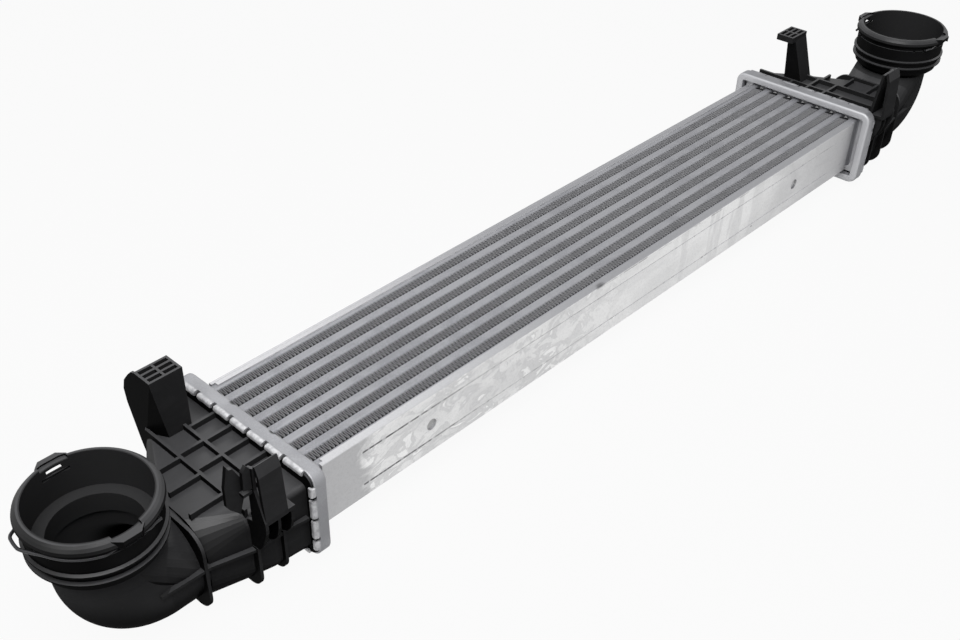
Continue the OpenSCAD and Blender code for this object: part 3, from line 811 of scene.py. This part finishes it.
    def dress(self, sheet: bpy.types.Material, fin: bpy.types.Material, flux: bpy.types.Material) -> None:
        """Gives the solids of the core their finishes and adds the fins and beads.

        Args:
            sheet: finish of the tubes.
            fin: finish of the fins and the sheets inside the tubes.
            flux: finish of the drops of flux.
        """
        for k in range(1, TUBES + 1):
            cover(f"tube_{k}", sheet)
            cover(f"tube_insert_{k}", fin)
        for k in range(1, TUBES):
            hand_over(self.fin_row(k, fin), [f"fin_row_{k}"])
        hand_over(self.fillets(sheet))
        hand_over(self.flux_beads(flux))


def rounded_loop(width: float, height: float, radius: float, steps: int) -> np.ndarray:
    """Closed outline of a rounded rectangle about the origin.

    Quarter circles at the four corners, joined by the straight sides.

    Args:
        width: size across the first axis.
        height: size across the second axis.
        radius: corner radius.
        steps: points less one in each quarter circle.

    Returns:
        N by 2 array, turning from the first axis to the second.
    """
    quarter = np.linspace(0.0, np.pi / 2, steps + 1)
    parts = []
    for turn, (sx, sy) in enumerate(((1, 1), (-1, 1), (-1, -1), (1, -1))):
        angle = quarter + turn * np.pi / 2
        middle = np.array([sx * (width / 2 - radius), sy * (height / 2 - radius)])
        parts.append(middle + radius * np.stack([np.cos(angle), np.sin(angle)], 1))
    return np.concatenate(parts)


def cover(node: str, material: bpy.types.Material) -> None:
    """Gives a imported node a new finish."""
    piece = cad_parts[node]
    piece.data.materials.clear()
    piece.data.materials.append(material)
    piece.data.shade_smooth()
    piece.data.set_sharp_from_angle(angle=math.radians(16.0))


@dataclass
class SidePlate:
    """Pressed channel over an outer tube, with two round holes, two pressed lines and a dented edge."""

    side: int
    half_length: float = 325.5 * MM
    half_height: float = 24.0 * MM
    face: float = 58.25 * MM
    sheet: float = 1.6 * MM
    lip: float = 1.0 * MM
    flange: float = 6.2 * MM
    notch: float = 3.1 * MM
    line_height: float = 14.0 * MM
    line_depth: float = 0.3 * MM
    line_end: float = 291.0 * MM
    hole_x: float = 229.0 * MM
    hole_z: float = -0.8 * MM
    hole_radius: float = 4.5 * MM
    dent_x: float = -48.5 * MM
    dent_width: float = 5.5 * MM
    worn_x: float = 50.0 * MM
    worn_width: float = 90.0 * MM
    tolerance: float = 0.05 * MM

    @property
    def tag(self) -> str:
        """Word used in piece names."""
        return "front" if self.side < 0 else "back"

    def section(self) -> np.ndarray:
        """Closed outline of the channel: depth below the outer face, and height from the middle.

        Returns:
            N by 2 array, from the lower outer corner upwards.
        """
        h, line, top = self.half_height, self.line_height, self.half_height + self.lip
        w = 0.25 * MM
        upper = [(0.0, line - w), (self.line_depth, line), (0.0, line + w), (0.0, h - 2 * MM), (0.0, h),
                 (0.12 * MM, h + 0.55 * MM), (0.42 * MM, h + 0.88 * MM), (self.lip, top), (2.2 * MM, top),
                 (2.5 * MM, top - (self.side > 0) * 0.35 * MM), (2.8 * MM, top),
                 (self.flange - 0.2 * MM, top), (self.flange, top - 0.2 * MM), (self.flange, h), (self.sheet, h)]
        lower = [(u, -z) for u, z in upper[::-1]]
        return np.array(lower + [(0.0, -line / 2), (0.0, 0.0), (0.0, line / 2)] + upper)

    def build(self, material: bpy.types.Material) -> bpy.types.Object:
        """Builds the plate.

        The section is carried along X. Near the ends the flanges are cut back, the upper corner of
        the front plate is pushed in by a bell curve, and its top edge wanders by slow sines.

        Args:
            material: its finish.

        Returns:
            The plate.
        """
        reach, cut_from = self.half_length, self.half_length - self.notch
        x = np.concatenate([[-reach, -cut_from, -cut_from + self.tolerance],
                            np.linspace(-reach + 6 * MM, reach - 6 * MM, 300),
                            [cut_from - self.tolerance, cut_from, reach]])
        base = self.section()
        u = np.broadcast_to(base[:, 0], (len(x), len(base))).copy()
        z = np.broadcast_to(base[:, 1], (len(x), len(base))).copy()
        cut = (np.abs(x) > cut_from - self.tolerance / 5)[:, None]
        u = np.where(cut, np.minimum(u, self.notch), u)
        on_line = np.abs(np.abs(base[:, 1]) - self.line_height) < 2 * self.tolerance
        u = np.where((np.abs(x) > self.line_end)[:, None] & on_line & (base[:, 0] < self.sheet), 0.0, u)
        outer = (base[:, 0] < self.lip * 1.1) & (base[:, 1] > self.half_height - 3 * MM)
        if self.side < 0:
            bell = np.exp(-((x - self.dent_x) / self.dent_width) ** 2)[:, None]
            wander = np.abs(np.sin(x / (31 * MM)) + np.sin(x / (11 * MM) + 1.0) * 0.5)[:, None]
            worn = np.exp(-((x - self.worn_x) / self.worn_width) ** 2)[:, None] * wander
            high = outer & (base[:, 1] > self.half_height - MM)
            u = u + outer * bell * 0.8 * MM + high * worn * 0.12 * MM
            z = z - high * (bell * 0.9 + worn * 0.2) * MM
        points = np.stack([np.broadcast_to(x[:, None], u.shape),
                           self.side * (self.face - u) + ORIGIN_Y, z + ORIGIN_Z], -1)
        shape = Shape()
        shape.tube(points)
        bend_angle = 24.0
        made = shape.build(f"pressed_channel_{self.tag}", material, bend_angle)
        for end in End:
            self.pierce(made, end.value * self.hole_x)
        made.data.set_sharp_from_angle(angle=math.radians(bend_angle))
        return made

    def pierce(self, plate: bpy.types.Object, x: float) -> None:
        """Cuts a round hole through the plate's web.

        Args:
            plate: the plate.
            x: place of the hole along X.
        """
        turn = np.linspace(0, 2 * np.pi, 32, endpoint=False)
        rows = [np.stack([x + self.hole_radius * np.cos(turn),
                          np.full(len(turn), self.side * (self.face + d) + ORIGIN_Y),
                          self.hole_z + ORIGIN_Z + self.hole_radius * np.sin(turn)], 1)
                for d in (-2.4 * MM, 2.0 * MM)]
        drill = Shape()
        drill.tube(np.stack(rows))
        tool = drill.build("drill", plate.data.materials[0])
        cut = plate.modifiers.new("hole", "BOOLEAN")
        cut.operation, cut.solver, cut.object = "DIFFERENCE", "EXACT", tool
        graph = bpy.context.evaluated_depsgraph_get()
        mesh = bpy.data.meshes.new_from_object(plate.evaluated_get(graph))
        plate.modifiers.clear()
        plate.data = mesh
        bpy.data.objects.remove(tool, do_unlink=True)


@dataclass
class HeaderPlate:
    """Pressed header plate with its gutter rim, slotted floor and folded crimp tabs."""

    end: End
    width: float = 142.5 * MM
    height: float = 71.5 * MM
    depth: float = 13.0 * MM
    corner: float = 9.0 * MM
    sheet: float = 1.6 * MM
    rim: float = 7.2 * MM
    bend: float = 2.3 * MM
    recess: float = 6.0 * MM
    rim_x: float = 331.0 * MM
    fold: float = 3.9 * MM
    notch_floor: float = 9.0 * MM
    tab_pitch: float = 17.7 * MM
    tab_shift: float = 1.0 * MM
    tab_gap: float = 3.1 * MM
    swell: float = 0.45 * MM
    inner_bend: float = 1.2 * MM
    recess_bend: float = 0.9 * MM
    tab_bend: float = 2.0 * MM
    corner_top: float = 10.0 * MM
    shift_y: float = 1.75 * MM
    shift_z: float = -2.75 * MM

    @property
    def slit(self) -> float:
        """Gap between two tabs; those of the right plate lie nearly edge to edge."""
        return self.tab_gap if self.end is End.LEFT else self.tab_gap * 0.3

    @property
    def middle(self) -> np.ndarray:
        """Middle of the plate in Y and Z."""
        return np.array([ORIGIN_Y + self.shift_y, ORIGIN_Z + self.shift_z])

    def place(self, inset: np.ndarray, x: np.ndarray, steps: int = 6) -> np.ndarray:
        """Carries a profile round the rounded rectangle of the rim.

        Args:
            inset: distance of each profile point inwards from the plate's edge.
            x: its distance from the rim's crest towards the tank.
            steps: points in each corner.

        Returns:
            Array of loops: path points by profile points by 3.
        """
        loops = []
        for d, depth in zip(inset, x):
            loop = rounded_loop(self.width - 2 * d, self.height - 2 * d, max(self.corner - d, 0.15 * MM), steps)
            loops.append(np.c_[np.full(len(loop), self.end.value * (self.rim_x + depth)), loop + self.middle])
        return np.stack(loops, 1)

    def wall_profile(self) -> tuple[np.ndarray, np.ndarray]:
        """Closed section of the gutter: recess wall, crest and outer wall, with rounded bends.

        Returns:
            Insets and depths of its points.
        """
        turn = np.linspace(0.0, np.pi / 2, 7)
        t, r, q = self.sheet, self.bend, self.inner_bend
        outer = [(0.0, self.notch_floor)]
        outer += [(r - r * math.cos(a), r - r * math.sin(a)) for a in turn]
        outer += [(self.rim - q + q * math.sin(a), q - q * math.cos(a)) for a in turn]
        outer += [(self.rim, self.recess), (self.rim + 1.2 * MM, self.recess)]
        inner = [(self.rim + 1.2 * MM, self.recess + t), (self.rim - t, self.recess + t)]
        q = self.recess_bend
        inner += [(self.rim - t - q + q * math.cos(a), t + q - q * math.sin(a)) for a in turn]
        q = r - t
        inner += [(t + q - q * math.sin(a), t + q - q * math.cos(a)) for a in turn]
        inner += [(t, self.notch_floor)]
        points = np.array(outer + inner)
        return points[:, 0], points[:, 1]

    def tab_profile(self) -> np.ndarray:
        """Section of a crimp tab: up the wall and folded in over the tank's foot.

        Returns:
            Inset and depth of its points, a closed loop.
        """
        turn = np.linspace(0.0, np.pi / 2, 6)
        t, r, d = self.sheet, self.tab_bend, self.depth
        foot, puff = self.notch_floor, self.swell
        outer = [(0.0, foot), (-0.6 * puff, foot + 0.5 * MM), (-puff, foot + 1.2 * MM), (-0.9 * puff, d - r)]
        outer += [(r - r * math.cos(a) - 0.5 * puff * math.cos(a), d - r + r * math.sin(a)) for a in turn[1:]]
        outer += [(self.fold - 0.5 * MM, d - 0.05 * MM), (self.fold, d - 0.5 * MM)]
        inner = [(self.fold, d - t + 0.2 * MM), (self.fold - 0.3 * MM, d - t + 0.02 * MM)]
        inner += [(t + 0.4 * MM * (1 - math.sin(a)), d - t - 0.4 * MM * (1 - math.cos(a)) + 0.02 * MM)
                  for a in turn[::-1][:3]]
        inner += [(t, foot)]
        return np.array(outer + inner)

    def tab_spans(self, long_side: bool) -> list[tuple[float, float]]:
        """Stretches of a straight side that carry tabs.

        Args:
            long_side: whether it is a side along Y.

        Returns:
            Start and end of each tab along the side, from its middle.
        """
        half = (self.width if long_side else self.height) / 2 - self.corner
        if long_side:
            gaps = [(k - 2.5) * self.tab_pitch + self.tab_shift for k in range(6)]
        else:
            gaps = [k * self.tab_pitch for k in (-1, 0, 1)]
        edges = [-half] + [g + s * self.slit / 2 for g in gaps for s in (-1, 1)] + [half]
        return [(edges[i], edges[i + 1]) for i in range(0, len(edges), 2)]

    def add_tabs(self, shape: Shape) -> None:
        """Adds the crimp tabs, each a folded strip with a slightly uneven, dished top.

        Args:
            shape: shape that takes them.
        """
        profile = self.tab_profile()
        random = np.random.default_rng(7 + self.end.value)
        stations = np.array([0.0, 0.04, 0.12, 0.3, 0.5, 0.7, 0.88, 0.96, 1.0])
        draw_in = np.array([0.55, 0.2, 0.0, 0.0, 0.0, 0.0, 0.0, 0.2, 0.55]) * MM
        puffed = profile[:, 0] < 0
        upper = profile[:, 1] > self.depth - self.sheet * 0.6
        sides = [(long_side, side) for long_side in (True, False) for side in (-1, 1)]
        for long_side, side in sides:
            for low, high in self.tab_spans(long_side):
                dish = np.sin(np.pi * stations) * 0.22 * MM + random.normal(0, 0.05, len(stations)) * MM
                lumps = random.normal(0, 0.16, len(stations)) * MM
                rows = []
                for share, pull, dip, lump in zip(stations, draw_in, dish, lumps):
                    inset = profile[:, 0] + puffed * (lump + (pull > 0) * self.swell * 0.8)
                    tip = np.clip((inset - MM) / (self.fold - MM), 0, 1)
                    sunk = np.clip(dip + random.normal(0, 0.04) * MM, 0, 0.4 * MM)
                    rows.append(self.station(long_side, side, low + (high - low) * share,
                                             inset - tip * pull, profile[:, 1] - upper * tip * sunk))
                shape.tube(np.stack(rows))

    def station(self, long_side: bool, side: int, along: float, inset: np.ndarray,
                depth: np.ndarray) -> np.ndarray:
        """Places a section at a point of a straight side.

        Args:
            long_side: whether the side runs along Y.
            side: 1 for the side towards +Z or +Y.
            along: distance from the side's middle.
            inset: insets of the section's points.
            depth: depths of the section's points.

        Returns:
            The section's points.
        """
        x = self.end.value * (self.rim_x + depth)
        reach = (self.height if long_side else self.width) / 2 - inset
        level = np.full(len(inset), along)
        y, z = (level, side * reach) if long_side else (side * reach, level)
        return np.stack([x, y + self.middle[0], z + self.middle[1]], 1)

    def add_corners(self, shape: Shape) -> None:
        """Adds the low walls at the four open corners, between the tabs of two sides."""
        t, top, steps = self.sheet, self.corner_top, 8
        profile = np.array([(0.0, self.notch_floor), (0.0, top - 0.5 * MM), (0.35 * MM, top),
                            (t - 0.3 * MM, top), (t, top - 0.4 * MM), (t, self.notch_floor)])
        for wall in np.split(self.place(profile[:, 0], profile[:, 1], steps), 4):
            shape.tube(wall)

    def add_floor(self, shape: Shape) -> None:
        """Adds the floor as strips between and around the tubes' slots.

        Args:
            shape: shape that takes them.
        """
        half = np.array([self.width, self.height]) / 2 - self.rim
        (y_low, z_low), (y_high, z_high) = self.middle - half, self.middle + half
        boxes = [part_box(f"tube_{k}") for k in range(1, TUBES + 1)]
        y_edges = [y_low] + [corner[1] for box in boxes for corner in box] + [y_high]
        slot_low, slot_high = boxes[0][0][2], boxes[0][1][2]
        strips = [(y_edges[i], y_edges[i + 1], slot_low, slot_high) for i in range(0, len(y_edges), 2)]
        strips += [(y_low, y_high, z_low, slot_low), (y_low, y_high, slot_high, z_high)]
        inner = self.rim_x + self.recess
        for ya, yb, za, zb in strips:
            ring = np.array([[ya, za], [yb, za], [yb, zb], [ya, zb]])
            shape.tube(np.stack([np.c_[np.full(len(ring), self.end.value * x), ring]
                                 for x in (inner, inner + self.sheet)]))

    def build(self, material: bpy.types.Material) -> bpy.types.Object:
        """Builds the whole plate.

        Args:
            material: its finish.

        Returns:
            The plate.
        """
        shape = Shape()
        inset, depth = self.wall_profile()
        shape.tube(self.place(inset, depth), closed=True)
        self.add_tabs(shape)
        self.add_corners(shape)
        self.add_floor(shape)
        return shape.build(f"crimped_header_{self.end.tag}", material, 35.0)


@dataclass
class SpringClip:
    """Bent wire clip round a hose socket."""

    end: End
    wire: float = 0.9 * MM
    drawn: float = 1.05 * MM
    leg: float = 37.4 * MM
    half_leg: float = 9.2 * MM
    groove: float = 40.493 * MM

    def path(self) -> np.ndarray:
        """Middle line of the wire, taken from the solid's measured outline.

        Straight legs through the slots, a bowed arc on the side away from the core and two bent
        ends on the side towards it, rounded where they meet.

        Returns:
            N by 3 array.
        """
        low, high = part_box(f"spring_clip_{self.end.tag}")
        bow = max(abs(low[0]), abs(high[0])) - self.wire - SOCKET_X

        def polar(radius: float, degrees: float) -> tuple[float, float]:
            """Point at a radius and an angle round the socket's axis."""
            return radius * math.cos(math.radians(degrees)), radius * math.sin(math.radians(degrees))

        half = [polar(self.groove + 1.8 * MM, 122.0), polar(self.groove, 116.0), polar(self.groove, 110.0),
                (-self.half_leg, self.leg), (self.half_leg, self.leg)]
        half += [polar(self.groove, a) for a in range(70, 20, -7)]
        tail = [(x, -y) for x, y in half[::-1]]
        smooth = refine(np.array(half + [polar(bow, a) for a in (14.0, 5.0, -2.0)] + tail), 3)
        middle = (low + high) / 2.0
        return np.stack([self.end.value * (SOCKET_X + smooth[:, 0]), middle[1] + smooth[:, 1],
                         np.full(len(smooth), middle[2])], 1)

    def build(self, material: bpy.types.Material) -> bpy.types.Object:
        """Builds the wire.

        A circle is carried along the middle line, with rounded ends.

        Args:
            material: its finish.

        Returns:
            The clip.
        """
        shape = Shape()
        shape.tube(carry_circle(self.path(), self.drawn, 12))
        return shape.build(f"clip_wire_{self.end.tag}", material, 60.0)


def refine(points: np.ndarray, rounds: int) -> np.ndarray:
    """Rounds the corners of an open path by cutting them, its ends kept (corner cutting).

    Args:
        points: N by D array.
        rounds: how often the corners are cut.

    Returns:
        The finer path.
    """
    for _ in range(rounds):
        near = points[:-1] * 0.8 + points[1:] * 0.2
        far = points[:-1] * 0.2 + points[1:] * 0.8
        middle = np.stack([near, far], 1).reshape(-1, points.shape[1])
        points = np.concatenate([points[:1], middle, points[-1:]])
    return points


def carry_circle(path: np.ndarray, radius: float, sides: int) -> np.ndarray:
    """Rings of a round wire along a path, drawn in at both ends.

    Each ring is a circle across the path's direction, built on the direction's sideways and
    upward normals.

    Args:
        path: N by 3 array.
        radius: radius of the wire.
        sides: points in a ring.

    Returns:
        Array of rings.
    """
    along = np.gradient(path, axis=0)
    along /= np.linalg.norm(along, axis=1)[:, None]
    up = np.array([0.0, 0.0, 1.0])
    side = np.cross(along, up)
    side /= np.linalg.norm(side, axis=1)[:, None]
    lift = np.cross(side, along)
    angle = np.linspace(0, 2 * np.pi, sides, endpoint=False)
    grow = np.ones(len(path)) * radius
    grow[[0, -1]] *= 0.45
    circle = side[:, None, :] * np.cos(angle)[None, :, None] + lift[:, None, :] * np.sin(angle)[None, :, None]
    return path[:, None, :] + circle * grow[:, None, None]


@dataclass
class Studio:
    """Camera, soft light and pale floor."""

    focal: float = 1171.78
    centre: tuple[float, float] = (417.69, 367.36)
    size: tuple[float, float] = (960.0, 640.0)
    eye: Triple = (-0.6535, -0.4819 + ORIGIN_Y, 0.5218 + ORIGIN_Z)
    right: Triple = (0.7111, -0.7030, -0.0106)
    down: Triple = (-0.4414, -0.4347, -0.7850)
    forward: Triple = (0.5472, 0.5629, -0.6194)
    sensor: float = 36.0
    floor_reach: float = 6.0
    floor_drop: float = 0.4 * MM
    floor_grey: float = 0.35
    floor_share: float = 0.94
    sky: Triple = (0.93, 0.95, 1.0)
    sky_strength: float = 0.14
    lamps: tuple[Lamp, ...] = (("key", (-0.6, -0.3, 1.4), (-0.05, 0.0, 0.03), 1.1, 21.0),
                               ("side", (-1.5, -0.2, 1.0), (0.3, 0.0, 0.05), 0.8, 4.0),
                               ("fill", (1.7, -0.5, 1.0), (0.0, 0.0, 0.03), 1.0, 3.0),
                               ("rim", (0.6, 1.4, 1.0), (0.0, 0.0, 0.05), 0.9, 2.0))

    def camera(self) -> None:
        """Sets the camera to the photograph's view."""
        data = bpy.data.cameras.new("view")
        made = bpy.data.objects.new("view", data)
        bpy.context.collection.objects.link(made)
        data.sensor_width = self.sensor
        data.lens = self.focal / self.size[0] * self.sensor
        data.shift_x = (self.size[0] / 2 - self.centre[0]) / self.size[0]
        data.shift_y = (self.centre[1] - self.size[1] / 2) / self.size[0]
        data.clip_start, data.clip_end = 0.01, 30.0
        columns = Matrix((self.right, tuple(-v for v in self.down), tuple(-v for v in self.forward)))
        made.matrix_world = Matrix.Translation(Vector(self.eye)) @ columns.transposed().to_4x4()
        bpy.context.scene.camera = made

    def lamp(self, name: str, place: Sequence[float], aim: Sequence[float], size: float, power: float) -> None:
        """Adds a soft square lamp.

        Args:
            name: name of the lamp.
            place: its position.
            aim: point that it faces.
            size: side of the square.
            power: watts.
        """
        data = bpy.data.lights.new(name, "AREA")
        data.size, data.energy = size, power
        made = bpy.data.objects.new(name, data)
        made.location = place
        made.rotation_euler = (Vector(aim) - Vector(place)).to_track_quat("-Z", "Y").to_euler()
        bpy.context.collection.objects.link(made)

    def white_seen(self, tree: bpy.types.NodeTree, dim: bpy.types.NodeSocket, white: bpy.types.NodeSocket,
                   share: float) -> bpy.types.NodeSocket:
        """Mixes towards white for the camera, reflections and transmission.

        Args:
            tree: node tree of the floor or the world.
            dim: shader for other light.
            white: shader that is seen.
            share: how much of it is seen.

        Returns:
            The mixed shader.
        """
        path = add_node(tree, "ShaderNodeLightPath")
        seen = path.outputs["Is Camera Ray"]
        for name in ("Is Glossy Ray", "Is Transmission Ray"):
            seen = add_node(tree, "ShaderNodeMath", {"operation": "MAXIMUM"},
                            {0: seen, 1: path.outputs[name]}).outputs[0]
        part = add_node(tree, "ShaderNodeMath", {"operation": "MULTIPLY"}, {0: seen, 1: share}).outputs[0]
        return add_node(tree, "ShaderNodeMixShader", None, {0: part, 1: dim, 2: white}).outputs[0]

    def floor(self) -> None:
        """Lays the pale floor that keeps the object's soft shadow."""
        corners = [(x * self.floor_reach, y * self.floor_reach, -self.floor_drop)
                   for x, y in ((-1, -1), (1, -1), (1, 1), (-1, 1))]
        material = bpy.data.materials.new("pale_floor")
        material.use_nodes = True
        tree = material.node_tree
        tree.nodes.clear()
        matt = add_node(tree, "ShaderNodeBsdfDiffuse", None, {"Color": (*[self.floor_grey] * 3, 1.0)})
        glow = add_node(tree, "ShaderNodeEmission", None, {"Color": WHITE})
        seen = self.white_seen(tree, matt.outputs[0], glow.outputs[0], self.floor_share)
        add_node(tree, "ShaderNodeOutputMaterial", None, {"Surface": seen})
        mesh_object("studio_floor", np.array(corners), [[0, 1, 2, 3]], None, material)

    def world(self) -> None:
        """Sets the even surrounding light, white where it is seen."""
        world = bpy.data.worlds.new("studio")
        bpy.context.scene.world = world
        world.use_nodes = True
        tree = world.node_tree
        tree.nodes.clear()
        dim = add_node(tree, "ShaderNodeBackground", None,
                       {"Color": (*self.sky, 1.0), "Strength": self.sky_strength})
        white = add_node(tree, "ShaderNodeBackground", None, {"Color": WHITE})
        seen = self.white_seen(tree, dim.outputs[0], white.outputs[0], 1.0)
        add_node(tree, "ShaderNodeOutputWorld", None, {"Surface": seen})

    def build(self) -> None:
        """Builds everything around the object."""
        bpy.context.scene.view_settings.view_transform = "Standard"
        self.camera()
        self.world()
        self.floor()
        for lamp in self.lamps:
            self.lamp(*lamp)


# The sheet's spots are painted light on the tube sides seen through the side plates' holes.
SHEET = BrazedSheet("brazed_sheet", (0.33, 0.332, 0.35), (0.26, 0.262, 0.28), 0.58, 0.6, 0.8,
                    lit_and_shaded_spots=tuple(((x, -0.055, 0.0426), (0.006, 0.003, 0.006), 0.55) for x in (-0.229, 0.229)))
# The rim's spots are painted shade standing for two slits in the near header plate's edge.
RIM_SHEET = BrazedSheet("brazed_rim", (0.37, 0.372, 0.39), (0.3, 0.302, 0.318), 0.46, 0.35, 0.8, (1.0, 1.0, 1.0),
                        0.3402, tuple(((-0.3325, y, 0.0755), (0.0022, 0.0042, 0.0016), 0.03)
                                      for y in (0.0236, -0.0174)))
# The plate's first mark is painted shade in the dent of its top edge.
PLATE = PressedPlate("pressed_plate", (0.88, 0.88, 0.88), (0.7, 0.7, 0.705), 0.44,
                     marks=(((-0.0485, -0.0566, 0.0681), (0.0075, 0.005, 0.003), 0.97),
                            ((0.0909, -0.0566, 0.0293), (0.002, 0.003, 0.0012), 0.7),
                            ((0.1652, -0.0566, 0.0269), (0.002, 0.003, 0.0012), 0.7)))
FINS = FinStock("fin_stock", (0.47, 0.47, 0.485), (0.018, 0.018, 0.02), 0.0674, 0.0026)
FLUX = PlainCoat("flux_residue", (0.42, 0.42, 0.42), 0.4)
TANK = MouldedPlastic("moulded_nylon", (0.019, 0.019, 0.0194), (0.07, 0.07, 0.073), 0.42)
SEAL = PlainCoat("seal_rubber_skin", (0.012, 0.012, 0.012), 0.75)
WIRE = PlainCoat("coated_wire", (0.02, 0.02, 0.022), 0.35, 0.4)


def main() -> None:
    """Builds the studio and dresses the object, in order."""
    logging.basicConfig(level=logging.INFO, format="%(message)s")
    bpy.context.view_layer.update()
    Studio().build()
    sheet, rim, plate, fins = SHEET.build(), RIM_SHEET.build(), PLATE.build(), FINS.build()
    tank, seal, wire = TANK.build(), SEAL.build(), WIRE.build()
    Core().dress(sheet, fins, FLUX.build())
    for side in (-1, 1):
        channel = SidePlate(side)
        hand_over(channel.build(plate), [f"side_plate_{channel.tag}"])
    for end in End:
        hand_over(HeaderPlate(end).build(rim), [f"header_plate_{end.tag}"])
        hand_over(SpringClip(end).build(wire), [f"spring_clip_{end.tag}"])
        cover(f"tank_{end.tag}", tank)
        cover(f"tank_seal_{end.tag}", seal)


if __name__ == "__main__":
    main()
